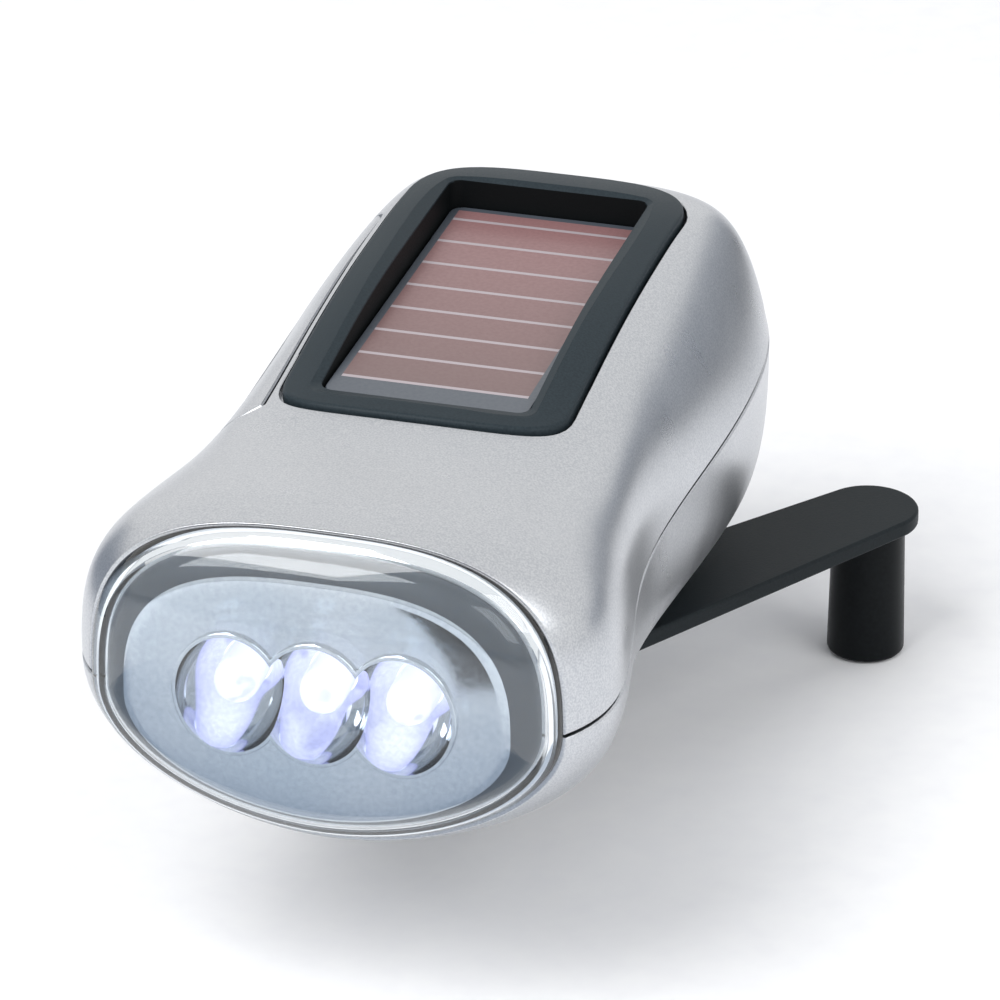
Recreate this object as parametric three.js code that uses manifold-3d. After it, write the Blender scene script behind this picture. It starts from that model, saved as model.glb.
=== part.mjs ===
// Hand crank flashlight: silver case, solar panel on top, three LEDs behind a clear nose cover,
// a crank arm that unfolds under the case and turns a geared generator.
// Millimetres, +Z up. Pieces are placed by their distance y behind the nose tip, x across, z above the
// flat underside. The outer group moves the origin to the rest point on the underside.
import * as THREE from "three";
import { mergeVertices } from "three/addons/utils/BufferGeometryUtils.js";
import { ParametricGeometry } from "three/addons/geometries/ParametricGeometry.js";
import { ConvexGeometry } from "three/addons/geometries/ConvexGeometry.js";
import Module from "manifold-3d";

const wasm = await Module();
wasm.setup();

// Case form: half widths at the parting seam, crown heights, and where along the case they lie
const body_length = 115.8;
const nose_half_width = 30.3;
const nose_wide_y = 16.3;
const waist_half_width = 25.7;
const waist_y = 46;
const rear_half_width = 27.6;
const rear_wide_margin = 23.8;
const nose_crown_z = 38.1;
const nose_crown_y = 18;
const neck_crown_z = 35.6;
const neck_crown_y = 31;
const rear_crown_z = 39.8;
const rear_crown_margin = 45.8;
const seam_front_z = 17;
const seam_rise_share = 0.05;
const nose_round = 21;
const nose_top_round = 8;
const rear_round = 31.9;
const belly_drop = 1.2;
const rest_point_y = 30;
const end_power_shares = { nose: 2.59, rear: 2.53, rear_height: 0.83 };
const upper_power_shares = { nose: 2.8, rear: 3.65 };
const lower_power_shares = { nose: 2.4, rear: 3.37 };
const ring_spread_share = 0.65;

// Walls and clearances
const wall = 2.2;
const seam_gap = 0.3;
const fit_gap = 0.3;
const slide_gap = 0.4;
const bearing_gap = 0.15;
const overrun = 1;
const cut_reach = 200;
const merge_distance = 0.0001;

// Nose cover and reflector
const cover_front_y = 0.7;
const cover_seat_y = 8;
const cover_wall = 1.5;
const cover_step = 0.35;
const cover_low_step = 1;
const cover_power_shares = { outside: 2.1, inside: 2.5, reflector: 2.8 };
const reflector_face_y = 4.2;
const reflector_back_y = 14.5;
const reflector_margin = 0.5;
const cup_pitch = 9.4;
const cup_half_width = 5.8;
const cup_half_height = 6.7;
const cup_depth = 7.6;
const cup_z = 19.5;

// LEDs and their board
const led_count = 3;
const led_radius = 2.5;
const led_flange_radius = 2.9;
const led_flange = 1;
const led_length = 8.6;
const led_standoff = 0.4;
const led_board_thickness = 1.6;
const led_board_half_width = 15.5;
const led_board_half_height = 6.5;

// Solar frame and panel
const frame_front_y = 39.4;
const frame_rear_margin = 12.2;
const frame_half_width = 16.4;
const frame_front_corner = 7;
const frame_rear_corner = 10;
const frame_bow_share = 0.55;
const frame_proud = 0.7;
const frame_gap = 0.35;
const window_front_border = 5;
const window_rear_border = 6.7;
const window_side_border = 4.4;
const window_corner = 1.5;
const lip_flare = 2.2;
const lip_rise = 0.9;
const lip_depth = 1.1;
const panel_top_z = 35.9;
const panel_thickness = 1.3;
const shelf_thickness = 2;
const shelf_border = 1.8;
const shelf_lip = 3;

// Side key on the left flank: it swings on its upper edge and is cut out along a tilted line
const key_front_y = 41.5;
const key_rear_margin = 24.3;
const key_frame_gap = 1.5;
const key_pivot_z = 34.8;
const key_tilt_deg = 41;
const key_height = 12.6;
const key_rise = 2;
const key_corner = 5;
const key_cut_depth = 8;
const key_press_gap = 0.9;
const stem_length = 1.5;
const switch_y = 62;
const switch_z = 29.2;
const switch_size = 6;
const switch_height = 5;
const plunger_radius = 1.6;
const plunger_length = 3.4;

// Crank: hub, fork, hinge, arm and knob
const crank_y = 52;
const crank_rest_deg = 55;
const pocket_rear_margin = 6.8;
const hinge_offset = 4;
const hinge_z = -2;
const hub_radius = 13;
const hub_thickness = 2.4;
const hub_recess = 0.6;
const hub_shaft_radius = 4;
const hub_square = 5.6;
const well_gap = 0.5;
const well_roof = 1.8;
const fork_inner = 7.8;
const fork_ear = 2.4;
const knuckle_radius = 2.1;
const ear_radius = 2.4;
const pin_radius = 0.9;
const pin_head = 0.5;
const arm_thickness = 2;
const arm_top_z = -1;
const arm_root_half_width = 8.9;
const arm_root_start = 3.4;
const arm_tip_radius = 5.9;
const arm_skin = 0.6;
const rivet_radius = 1.5;
const rivet_head_radius = 2.7;
const rivet_head = 0.7;
const knob_length = 16.4;
const knob_top_radius = 4.35;
const knob_bottom_radius = 4.65;
const knob_chamfer = 0.6;
const knob_gap = 0.4;
const knob_bore_gap = 0.25;
const pocket_gap = 0.9;
const pocket_wall = 1.6;

// Gear train
const drive_teeth = 32;
const pinion_teeth = 10;
const wheel_teeth = 30;
const first_tooth_size = 1;
const second_tooth_size = 0.8;
const third_tooth_size = 0.7;
const drive_gear_width = 3;
const wheel_width = 2.2;
const layer_gap = 0.6;
const gear_float = 0.4;
const axle_radius = 1;
const axle_boss_radius = 2.3;
const first_axle_x = 4;
const second_axle_step_x = -11;
const rotor_step_x = 13;
const tooth_root_share = 0.27;
const tooth_tip_share = 0.12;
const addendum_share = 0.82;
const dedendum_share = 1.2;

// Generator
const magnet_radius = 8;
const magnet_height = 5.2;
const air_gap = 0.7;
const core_band = 2.5;
const core_thickness = 3;
const core_slot = 2.4;
const core_arm_offset = 9;
const core_bar_x = -14.4;
const coil_radius = 3.3;
const coil_bore_radius = 2.4;
const coil_half_length = 6;

// Gear bracket and its posts
const bracket_thickness = 1.8;
const bracket_margin = 3.2;
const post_radius = 3;
const left_post_x = -18;
const left_post_step = 20;
const right_post_x = 21;
const right_post_step = 24;
const rear_post_x = 19.4;
const rear_post_step = 43;

// Case screws: from below into bosses of the upper shell
const front_screw_x = 17;
const front_screw_y = 24;
const rear_screw_x = 13;
const rear_screw_margin = 10.4;
const screw_radius = 1.2;
const screw_head_radius = 2.3;
const screw_head = 1.6;
const screw_bite = 7;
const small_screw_bite = 5;
const screw_sink = 9;
const boss_radius = 3.6;

// Cells and boards
const cell_radius = 7.7;
const cell_thickness = 5.6;
const cell_count = 3;
const cell_board_gap = 0.8;
const cell_z = 11.2;
const holder_wall = 1.2;
const board_thickness = 1.6;
const board_top_z = 24.6;
const board_half_width = 16;
const board_stem_gap = 1.9;
const board_front_y = 42;
const board_rear_margin = 17.8;
const board_post_inset = 4;
const capacitor_radius = 4;
const capacitor_height = 6.4;
const chip_width = 6;
const chip_length = 9;
const chip_thickness = 1.8;
const lead_radius = 0.6;
const lead_spacing = 2.6;

// Faceting
const body_sides = 36;
const body_rings = 28;
const inner_sides = 24;
const inner_rings = 16;
const cover_rings = 8;
const round_sides = 24;
const small_sides = 12;
const plate_segments = 8;
const corner_segments = 5;
const dome_steps = 4;
const lead_steps = 8;
const lead_segments = 3;

// Places along the case: behind the nose tip, and ahead of the rear end
const rear_wide_y = body_length - rear_wide_margin;
const rear_crown_y = body_length - rear_crown_margin;
const frame_rear_y = body_length - frame_rear_margin;
const window_front_y = frame_front_y + window_front_border;
const window_rear_y = frame_rear_y - window_rear_border;
const window_half_width = frame_half_width - window_side_border;
const key_rear_y = body_length - key_rear_margin;
const key_pivot_x = -frame_half_width - key_frame_gap;
const board_rear_y = body_length - board_rear_margin;
const board_post_ys = [board_front_y + board_post_inset, board_rear_y - board_post_inset];
const chip_y = (board_front_y + board_rear_y) / 2;
const capacitor_y = (chip_y + board_rear_y) / 2;
const rear_screw_y = body_length - rear_screw_margin;
const case_screws = [
  { x: -front_screw_x, y: front_screw_y },
  { x: front_screw_x, y: front_screw_y },
  { x: -rear_screw_x, y: rear_screw_y },
  { x: rear_screw_x, y: rear_screw_y },
];
const bracket_posts = [
  { x: left_post_x, y: crank_y + left_post_step },
  { x: right_post_x, y: crank_y + right_post_step },
  { x: rear_post_x, y: crank_y + rear_post_step },
];

// The cells lie behind the LED board
const cup_bottom_y = reflector_face_y + cup_depth;
const led_base_y = cup_bottom_y + led_standoff + led_flange;
const led_board_y = led_base_y + 2 * fit_gap;
const led_back_y = led_board_y + led_board_thickness;
const holder_radius = cell_radius + fit_gap + holder_wall;
const cell_y = led_back_y + cell_board_gap + holder_radius;

// The arm is as long as the case allows: folded, its knob stands in a pocket at the rear end
const pocket_y = body_length - pocket_rear_margin;
const folded_radius = pocket_y - crank_y;
const crank_radius = folded_radius + 2 * hinge_offset;

// Finishes
const finish = (color, roughness, metalness = 0, opacity = 1) =>
  new THREE.MeshStandardMaterial({ color, roughness, metalness, opacity, transparent: opacity < 1 });
const silver_paint = finish(0xc4c6cc, 0.38, 0.55);
const black_plastic = finish(0x2b3338, 0.5);
const clear_plastic = finish(0xdfe8ec, 0.08, 0, 0.35);
const bright_metal = finish(0xdadfe4, 0.12, 1);
const led_lens = finish(0xf4f6ff, 0.1, 0, 0.7);
const cell_glass = finish(0x9a7c7c, 0.3);
const board_green = finish(0x1f5a3a, 0.6);
const gear_white = finish(0xe8e6dc, 0.5);
const steel = finish(0xb8bcc0, 0.3, 1);
const copper = finish(0xb5683a, 0.35, 1);
const magnet_grey = finish(0x3c3e42, 0.6, 0.6);
const nickel = finish(0xcfcfca, 0.25, 1);
const red_cover = finish(0xa83228, 0.5);

// Geometry to solid and back
function solid(geometry) {
  const plain = geometry.clone();
  plain.deleteAttribute("normal");
  plain.deleteAttribute("uv");
  const merged = mergeVertices(plain, merge_distance);
  const corners = merged.index.array;
  const faces = [];
  for (let i = 0; i < corners.length; i += 3) {
    const [a, b, c] = [corners[i], corners[i + 1], corners[i + 2]];
    if (a !== b && b !== c && c !== a) faces.push(a, b, c);
  }
  const mesh = (triVerts) => {
    const surface = new wasm.Mesh({ numProp: 3, vertProperties: merged.attributes.position.array, triVerts });
    surface.merge();
    return surface;
  };
  const made = new wasm.Manifold(mesh(new Uint32Array(faces)));
  if (made.volume() > 0) return made;
  return new wasm.Manifold(mesh(new Uint32Array(faces.reverse())));
}

function geometryOf(body) {
  const mesh = body.getMesh();
  const geometry = new THREE.BufferGeometry();
  geometry.setAttribute("position", new THREE.BufferAttribute(mesh.vertProperties, mesh.numProp));
  geometry.setIndex(new THREE.BufferAttribute(mesh.triVerts, 1));
  geometry.computeVertexNormals();
  return geometry;
}

// A body whose skin lies in the middle of the case wall, for what grows out of that wall
const midWall = () => caseBody(wall / 2, inner_sides, inner_rings);

const join = (...parts) => parts.reduce((whole, part) => whole.add(part));
const cutFrom = (body, ...cutters) => cutters.reduce((rest, cutter) => rest.subtract(cutter), body);

// Simple solids by their limits
function block(x0, x1, y0, y1, z0, z1) {
  const box = new THREE.BoxGeometry(x1 - x0, y1 - y0, z1 - z0);
  return solid(box.translate((x0 + x1) / 2, (y0 + y1) / 2, (z0 + z1) / 2));
}

function post(x, y, radius, z0, z1, sides = round_sides, top_radius = radius) {
  const rod = new THREE.CylinderGeometry(top_radius, radius, z1 - z0, sides);
  return solid(rod.rotateX(Math.PI / 2).translate(x, y, (z0 + z1) / 2));
}

function rodX(y, z, radius, x0, x1, sides = round_sides) {
  const rod = new THREE.CylinderGeometry(radius, radius, x1 - x0, sides);
  return solid(rod.rotateZ(Math.PI / 2).translate((x0 + x1) / 2, y, z));
}

function rodY(x, z, radius, y0, y1, sides = round_sides) {
  const rod = new THREE.CylinderGeometry(radius, radius, y1 - y0, sides);
  return solid(rod.translate(x, (y0 + y1) / 2, z));
}

function plate(shape, z0, z1, segments = plate_segments) {
  const extruded = new THREE.ExtrudeGeometry(shape, {
    depth: z1 - z0,
    bevelEnabled: false,
    curveSegments: segments,
  });
  return solid(extruded.translate(0, 0, z0));
}

const unit_x = new THREE.Vector3(1, 0, 0);
const unit_y = new THREE.Vector3(0, 1, 0);
const unit_z = new THREE.Vector3(0, 0, 1);

// Case form
function blend(y, stations) {
  let value = stations[0][1];
  for (let i = 1; i < stations.length; i++) {
    const [y0, low] = stations[i - 1];
    const [y1, high] = stations[i];
    value += (high - low) * THREE.MathUtils.smoothstep(y, y0, y1);
  }
  return value;
}

const halfWidthAt = (y) =>
  blend(y, [
    [nose_wide_y, nose_half_width],
    [waist_y, waist_half_width],
    [rear_wide_y, rear_half_width],
  ]);
const crownAt = (y) =>
  blend(y, [
    [nose_crown_y, nose_crown_z],
    [neck_crown_y, neck_crown_z],
    [rear_crown_y, rear_crown_z],
  ]);
const seamAt = (y) => seam_front_z + seam_rise_share * y;
const mix = (pair, y) => THREE.MathUtils.lerp(pair.nose, pair.rear, y / body_length);
const endShare = (distance, round, power) => {
  if (distance < merge_distance) return 0;
  return (1 - THREE.MathUtils.clamp(1 - distance / round, 0, 1) ** power) ** (1 / power);
};

function sectionAt(y, inset) {
  const front = endShare(y - inset, nose_round, end_power_shares.nose);
  const rear = endShare(body_length - inset - y, rear_round, end_power_shares.rear);
  const top_front = endShare(y - inset, nose_top_round, end_power_shares.nose);
  const height = rear ** end_power_shares.rear_height;
  const middle = seamAt(y);
  return {
    half: (halfWidthAt(y) - inset) * front * rear,
    middle,
    up: (crownAt(y) - inset - middle) * height * top_front,
    down: (middle + belly_drop - inset) * height * front,
    upper: mix(upper_power_shares, y),
    lower: mix(lower_power_shares, y),
  };
}

// How far out the case's skin lies at a height above the seam
function flankAt(y, z, inset) {
  const { half, middle, up, upper } = sectionAt(y, inset);
  return half * (1 - ((z - middle) / up) ** upper) ** (1 / upper);
}

function ringPoint(section, angle, y, scale, middle, target) {
  const across = Math.cos(angle);
  const above = Math.sin(angle);
  const power = above >= 0 ? section.upper : section.lower;
  const reach = above >= 0 ? section.up : section.down;
  const x = section.half * scale * Math.sign(across) * Math.abs(across) ** (2 / power);
  const z = middle + reach * scale * Math.sign(above) * Math.abs(above) ** (2 / power);
  return target.set(x, y, z);
}

function caseBody(inset, sides, rings) {
  const length = body_length - 2 * inset;
  const form = new ParametricGeometry(
    (u, v, target) => {
      const eased = (1 - Math.cos(Math.PI * v)) / 2;
      const y = inset + length * THREE.MathUtils.lerp(v, eased, ring_spread_share);
      const section = sectionAt(y, inset);
      ringPoint(section, 2 * Math.PI * u, y, 1, section.middle, target);
    },
    sides,
    rings,
  );
  const floor_z = Math.max(inset, 0);
  return solid(form).intersect(block(-cut_reach, cut_reach, -cut_reach, cut_reach, floor_z, cut_reach));
}

// Everything above the parting seam, which rises towards the rear
function aboveSeam(shift) {
  const slope = Math.atan(seam_rise_share);
  const half = new THREE.BoxGeometry(2 * cut_reach, 2 * cut_reach, 2 * cut_reach);
  half.translate(0, 0, cut_reach).rotateX(slope).translate(0, 0, seam_front_z + shift);
  return solid(half);
}

// Nose cover form: the case's own section at the cover's seat, drawn forward with a full rounded edge
function coverBody(inset, power, sides, rings) {
  const seat = sectionAt(cover_seat_y, 0);
  const section = {
    ...seat,
    half: seat.half - cover_step - inset,
    up: seat.up - cover_step - inset,
    down: seat.down - cover_low_step - inset,
  };
  const front_y = cover_front_y + inset;
  const depth = cover_seat_y - front_y;
  const form = new ParametricGeometry(
    (u, v, target) => {
      const ring = Math.round(v * rings);
      const share = Math.min(ring / (rings - 1), 1);
      const y = front_y + depth * (1 - Math.cos((share * Math.PI) / 2));
      const scale = ring === rings ? 0 : endShare(y - front_y, depth, power);
      ringPoint(section, 2 * Math.PI * u, y, scale, seat.middle, target);
    },
    sides,
    rings,
  );
  return solid(form);
}

// Solar frame outline, with bowed ends
function frameShape(grow) {
  const side = frame_half_width + grow;
  const front = frame_front_y - grow;
  const rear = frame_rear_y + grow;
  const front_side = frame_front_y + frame_front_corner;
  const rear_side = frame_rear_y - frame_rear_corner;
  const bow = side * frame_bow_share;
  const shape = new THREE.Shape();
  shape.moveTo(0, front);
  shape.bezierCurveTo(bow, front, side, front, side, front_side);
  shape.lineTo(side, rear_side);
  shape.bezierCurveTo(side, rear, bow, rear, 0, rear);
  shape.bezierCurveTo(-bow, rear, -side, rear, -side, rear_side);
  shape.lineTo(-side, front_side);
  shape.bezierCurveTo(-side, front, -bow, front, 0, front);
  return shape;
}

function roundedRectangle(x0, x1, y0, y1, corner) {
  const shape = new THREE.Shape();
  shape.moveTo(x0 + corner, y0);
  shape.lineTo(x1 - corner, y0);
  shape.absarc(x1 - corner, y0 + corner, corner, -Math.PI / 2, 0, false);
  shape.lineTo(x1, y1 - corner);
  shape.absarc(x1 - corner, y1 - corner, corner, 0, Math.PI / 2, false);
  shape.lineTo(x0 + corner, y1);
  shape.absarc(x0 + corner, y1 - corner, corner, Math.PI / 2, Math.PI, false);
  shape.lineTo(x0, y0 + corner);
  shape.absarc(x0 + corner, y0 + corner, corner, Math.PI, 1.5 * Math.PI, false);
  return shape;
}

const panel_bottom_z = panel_top_z - panel_thickness;
const shelf_top_z = panel_bottom_z - fit_gap;
const shelf_bottom_z = shelf_top_z - shelf_thickness;
const window_shape = (grow) =>
  roundedRectangle(
    -window_half_width - grow,
    window_half_width + grow,
    window_front_y - grow,
    window_rear_y + grow,
    window_corner,
  );

// Side key outline: a prism through the left flank, tilted about the key's upper edge
function keyPrism(grow) {
  const shape = roundedRectangle(
    key_front_y - grow,
    key_rear_y + grow,
    -key_height - grow,
    key_rise + grow,
    key_corner + grow,
  );
  const depth = cut_reach / 4;
  const prism = new THREE.ExtrudeGeometry(shape, {
    depth,
    bevelEnabled: false,
    curveSegments: corner_segments,
  });
  // shape x becomes y, shape y becomes z, and the depth runs along x
  prism.applyMatrix4(new THREE.Matrix4().makeBasis(unit_y, unit_z, unit_x));
  prism.translate(key_cut_depth - depth, 0, 0).rotateY(THREE.MathUtils.degToRad(key_tilt_deg));
  prism.translate(key_pivot_x, 0, key_pivot_z);
  const side = block(-cut_reach, key_pivot_x + grow, 0, body_length, 0, cut_reach);
  return solid(prism).intersect(side);
}

// Gears: straight sided teeth with room between them
function gearShape(teeth, tooth_size, tooth_angle) {
  const pitch_radius = (teeth * tooth_size) / 2;
  const tip = pitch_radius + addendum_share * tooth_size;
  const root = pitch_radius - dedendum_share * tooth_size;
  const step = (2 * Math.PI) / teeth;
  const shape = new THREE.Shape();
  for (let i = 0; i < teeth; i++) {
    const middle = tooth_angle + i * step;
    const corners = [
      [root, -tooth_root_share],
      [tip, -tooth_tip_share],
      [tip, tooth_tip_share],
      [root, tooth_root_share],
    ];
    for (const [radius, share] of corners) {
      const angle = middle + share * step;
      const [x, y] = [radius * Math.cos(angle), radius * Math.sin(angle)];
      if (i === 0 && share === -tooth_root_share) shape.moveTo(x, y);
      else shape.lineTo(x, y);
    }
  }
  return shape;
}

const pitchDistance = (tooth_size, wheel, pinion) => (tooth_size * (wheel + pinion)) / 2;

// Gear places: each axle lies at its pitch distance from the one before
const first_distance = pitchDistance(first_tooth_size, drive_teeth, pinion_teeth);
const second_distance = pitchDistance(second_tooth_size, wheel_teeth, pinion_teeth);
const third_distance = pitchDistance(third_tooth_size, wheel_teeth, pinion_teeth);
const hub_place = { x: 0, y: crank_y };
const stepTo = (from, dx, distance) => ({ x: from.x + dx, y: from.y + Math.sqrt(distance ** 2 - dx ** 2) });
const first_place = stepTo(hub_place, first_axle_x, first_distance);
const second_place = stepTo(first_place, second_axle_step_x, second_distance);
const rotor_place = stepTo(second_place, rotor_step_x, third_distance);
const heading = (from, to) => Math.atan2(to.y - from.y, to.x - from.x);
const first_heading = heading(hub_place, first_place);
const second_heading = heading(first_place, second_place);
const third_heading = heading(second_place, rotor_place);
const meshedTooth = (direction, teeth) => direction + Math.PI + Math.PI / teeth;

// Gear levels
const hub_bottom_z = hub_recess;
const hub_top_z = hub_bottom_z + hub_thickness;
const well_top_z = hub_top_z + well_gap;
const roof_top_z = well_top_z + well_roof;
const drive_z = roof_top_z + gear_float;
const drive_top_z = drive_z + drive_gear_width;
const second_z = drive_top_z + layer_gap;
const second_top_z = second_z + wheel_width;
const third_z = second_top_z + layer_gap;
const third_top_z = third_z + wheel_width;
const bracket_z = third_top_z + layer_gap;
const bracket_top_z = bracket_z + bracket_thickness;
const axle_foot_z = wall + fit_gap;
const magnet_z = wall + overrun + fit_gap;
const magnet_top_z = magnet_z + magnet_height;
const core_middle_z = magnet_top_z - core_thickness / 2 - fit_gap;

// The key's stem ends inside the left wall, beside the switch at the board's edge
const stem_end_x = stem_length - flankAt(switch_y, switch_z, wall);
const switch_foot_x = stem_end_x + board_stem_gap;

// Assembly groups
const part = new THREE.Group();
const assembly = new THREE.Group();
assembly.position.y = -rest_point_y;
part.add(assembly);
const crank = new THREE.Group();
crank.position.y = crank_y;
crank.rotation.z = THREE.MathUtils.degToRad(crank_rest_deg);
assembly.add(crank);

function piece(name, body, material, group = assembly) {
  const mesh = new THREE.Mesh(geometryOf(body), material);
  mesh.name = name;
  group.add(mesh);
}

// Knob pocket in the rear end: where the knob stands when the arm is folded along the case
const pocket_radius = knob_bottom_radius + pocket_gap;
const knob_top_z = arm_top_z - arm_thickness - knob_gap;
const knob_bottom_z = knob_top_z - knob_length;
const folded_tip_z = 2 * hinge_z - knob_bottom_z;
const pocket_top_z = folded_tip_z + pocket_gap;

function caseShells() {
  const outer = caseBody(0, body_sides, body_rings);
  const inner = caseBody(wall, inner_sides, inner_rings);
  const mouth = block(-cut_reach, cut_reach, -cut_reach, cover_seat_y, -cut_reach, cut_reach);
  const silver = cutFrom(outer, mouth);

  // screw towers reach from the floor to just under the seam, and from the roof down to meet them
  const towers = case_screws.map(({ x, y }) => post(x, y, boss_radius, -overrun, body_length, small_sides));
  const pilots = case_screws.map(({ x, y }) => {
    const head_room = post(x, y, screw_head_radius + slide_gap, -overrun, screw_sink, small_sides);
    const shank_room = post(x, y, screw_radius + bearing_gap, -overrun, seamAt(y) + screw_bite, small_sides);
    return head_room.add(shank_room);
  });

  // upper shell
  const shelf_ring = cutFrom(
    plate(frameShape(shelf_border), shelf_bottom_z, body_length),
    plate(window_shape(-shelf_lip), -overrun, shelf_top_z + overrun),
  );
  const roof_room = cutFrom(inner, plate(frameShape(shelf_border), shelf_bottom_z, body_length));
  const board_posts = board_post_ys.map((y) =>
    post(0, y, post_radius, board_top_z + fit_gap, shelf_top_z, small_sides),
  );
  const pilot_radius = screw_radius + bearing_gap;
  const board_pilots = board_post_ys.map((y) =>
    post(0, y, pilot_radius, board_top_z - overrun, board_top_z + small_screw_bite, small_sides),
  );
  const bridge = window_half_width;
  const board_bridges = board_post_ys.map((y) =>
    block(-bridge, bridge, y - post_radius, y + post_radius, shelf_bottom_z, shelf_top_z),
  );
  const mid = midWall();
  const upper_towers = towers.map((tower) => tower.intersect(mid).intersect(aboveSeam(seam_gap / 2)));
  let upper = silver.intersect(aboveSeam(seam_gap / 2)).subtract(roof_room);
  upper = join(upper, shelf_ring.intersect(silver), ...upper_towers, ...board_posts, ...board_bridges);
  upper = cutFrom(
    upper,
    plate(frameShape(frame_gap), shelf_top_z, cut_reach),
    plate(window_shape(-shelf_lip), shelf_bottom_z - overrun, shelf_top_z + overrun).subtract(
      join(...board_bridges, ...board_posts),
    ),
    keyPrism(slide_gap),
    ...pilots,
    ...board_pilots,
  );

  // lower shell
  const below = caseBody(0, body_sides, body_rings).subtract(aboveSeam(-seam_gap / 2));
  const pocket_lining = post(0, pocket_y, pocket_radius + pocket_wall, -overrun, pocket_top_z + pocket_wall);
  const room = inner.subtract(pocket_lining);
  const roof = post(0, crank_y, hub_radius + well_gap + wall, overrun, roof_top_z);
  const lower_towers = towers.map((tower) => tower.intersect(mid).subtract(aboveSeam(-seam_gap / 2)));
  const gear_posts = bracket_posts.map(({ x, y }) =>
    post(x, y, post_radius, overrun, bracket_z - fit_gap, small_sides).intersect(mid),
  );
  const bosses = [
    post(first_place.x, first_place.y, axle_boss_radius, overrun, drive_z - gear_float, small_sides),
    post(second_place.x, second_place.y, axle_boss_radius, overrun, second_z - gear_float, small_sides),
    post(rotor_place.x, rotor_place.y, axle_boss_radius, overrun, magnet_z - fit_gap, small_sides),
  ];
  const axle_holes = [first_place, second_place, rotor_place].map(({ x, y }) =>
    post(x, y, axle_radius + bearing_gap, wall, second_z, small_sides),
  );
  const bracket_pilots = bracket_posts.map(({ x, y }) =>
    post(x, y, screw_radius + bearing_gap, bracket_z - small_screw_bite, bracket_z, small_sides),
  );
  const core_rests = [-core_arm_offset, core_arm_offset].map((offset) =>
    block(
      core_bar_x - core_thickness / 2,
      core_bar_x + core_thickness / 2,
      rotor_place.y + offset - core_thickness / 2,
      rotor_place.y + offset + core_thickness / 2,
      wall / 2,
      core_middle_z - core_thickness / 2 - fit_gap,
    ).intersect(mid),
  );
  let lower = cutFrom(below, mouth, room);
  lower = join(lower, roof, ...lower_towers, ...gear_posts, ...bosses, ...core_rests, cellCradle());
  lower = cutFrom(
    lower,
    post(0, crank_y, hub_radius + well_gap, -overrun, well_top_z),
    post(0, crank_y, hub_shaft_radius + bearing_gap, 0, cut_reach),
    post(0, pocket_y, pocket_radius, -overrun, pocket_top_z),
    ...axle_holes,
    ...bracket_pilots,
    ...pilots,
  );
  piece("upper_shell", upper, silver_paint);
  piece("lower_shell", lower, silver_paint);
  return { outer, inner };
}

// Low walls on the floor that keep the cell holder in place
function cellCradle() {
  const half = (cell_count * cell_thickness) / 2 + holder_wall + 2 * fit_gap;
  const reach = cell_radius + holder_wall + fit_gap;
  return join(
    block(-half - holder_wall, -half, cell_y - reach / 2, cell_y + reach / 2, overrun, cell_z),
    block(half, half + holder_wall, cell_y - reach / 2, cell_y + reach / 2, overrun, cell_z),
  );
}

function noseCover() {
  const outside = coverBody(0, cover_power_shares.outside, body_sides, cover_rings);
  const inside = coverBody(cover_wall, cover_power_shares.inside, inner_sides, cover_rings);
  const back = cover_seat_y - fit_gap;
  const kept = block(-cut_reach, cut_reach, -cut_reach, back, -cut_reach, cut_reach);
  piece("lens_cover", outside.subtract(inside).intersect(kept), clear_plastic);
}

const cup_xs = [];
for (let i = 0; i < led_count; i++) cup_xs.push((i - (led_count - 1) / 2) * cup_pitch);

function reflectorTray(inner) {
  const bowl = coverBody(
    cover_wall + reflector_margin,
    cover_power_shares.reflector,
    inner_sides,
    cover_rings,
  );
  const front = bowl.intersect(
    block(-cut_reach, cut_reach, reflector_face_y, cover_seat_y - fit_gap, -cut_reach, cut_reach),
  );
  const plug = caseBody(wall + fit_gap, inner_sides, inner_rings).intersect(
    block(-cut_reach, cut_reach, cover_seat_y - fit_gap - overrun, reflector_back_y, -cut_reach, cut_reach),
  );
  const hollow = caseBody(2 * wall + fit_gap, inner_sides, inner_rings).intersect(
    block(-cut_reach, cut_reach, cup_bottom_y + led_standoff, cut_reach, -cut_reach, cut_reach),
  );
  const bowls = cup_xs.map((x) => {
    const ball = new THREE.SphereGeometry(1, round_sides, small_sides);
    const cup = ball.scale(cup_half_width, cup_depth, cup_half_height).translate(x, reflector_face_y, cup_z);
    return solid(cup);
  });
  const holes = cup_xs.map((x) =>
    rodY(x, cup_z, led_radius + bearing_gap, reflector_face_y, reflector_back_y + overrun, small_sides),
  );
  const tray = join(front, plug.intersect(inner));
  piece("reflector", cutFrom(tray, hollow, ...bowls, ...holes), bright_metal);
}

function ledsAndBoard() {
  cup_xs.forEach((x, i) => {
    const straight = led_length - led_radius - led_flange;
    const profile = [new THREE.Vector2(0, 0)];
    profile.push(new THREE.Vector2(led_flange_radius, 0));
    profile.push(new THREE.Vector2(led_flange_radius, led_flange));
    profile.push(new THREE.Vector2(led_radius, led_flange));
    for (let k = 0; k <= dome_steps; k++) {
      const angle = (k / dome_steps) * (Math.PI / 2);
      const radius = k === dome_steps ? 0 : led_radius * Math.cos(angle);
      profile.push(new THREE.Vector2(radius, led_flange + straight + led_radius * Math.sin(angle)));
    }
    const dome = new THREE.LatheGeometry(profile, small_sides);
    dome.rotateX(Math.PI).translate(x, led_base_y + fit_gap, cup_z);
    piece(`led_${i + 1}`, solid(dome), led_lens);
  });
  const board = block(
    -led_board_half_width,
    led_board_half_width,
    led_board_y,
    led_back_y,
    cup_z - led_board_half_height,
    cup_z + led_board_half_height,
  );
  piece("led_board", board, board_green);
}

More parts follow.
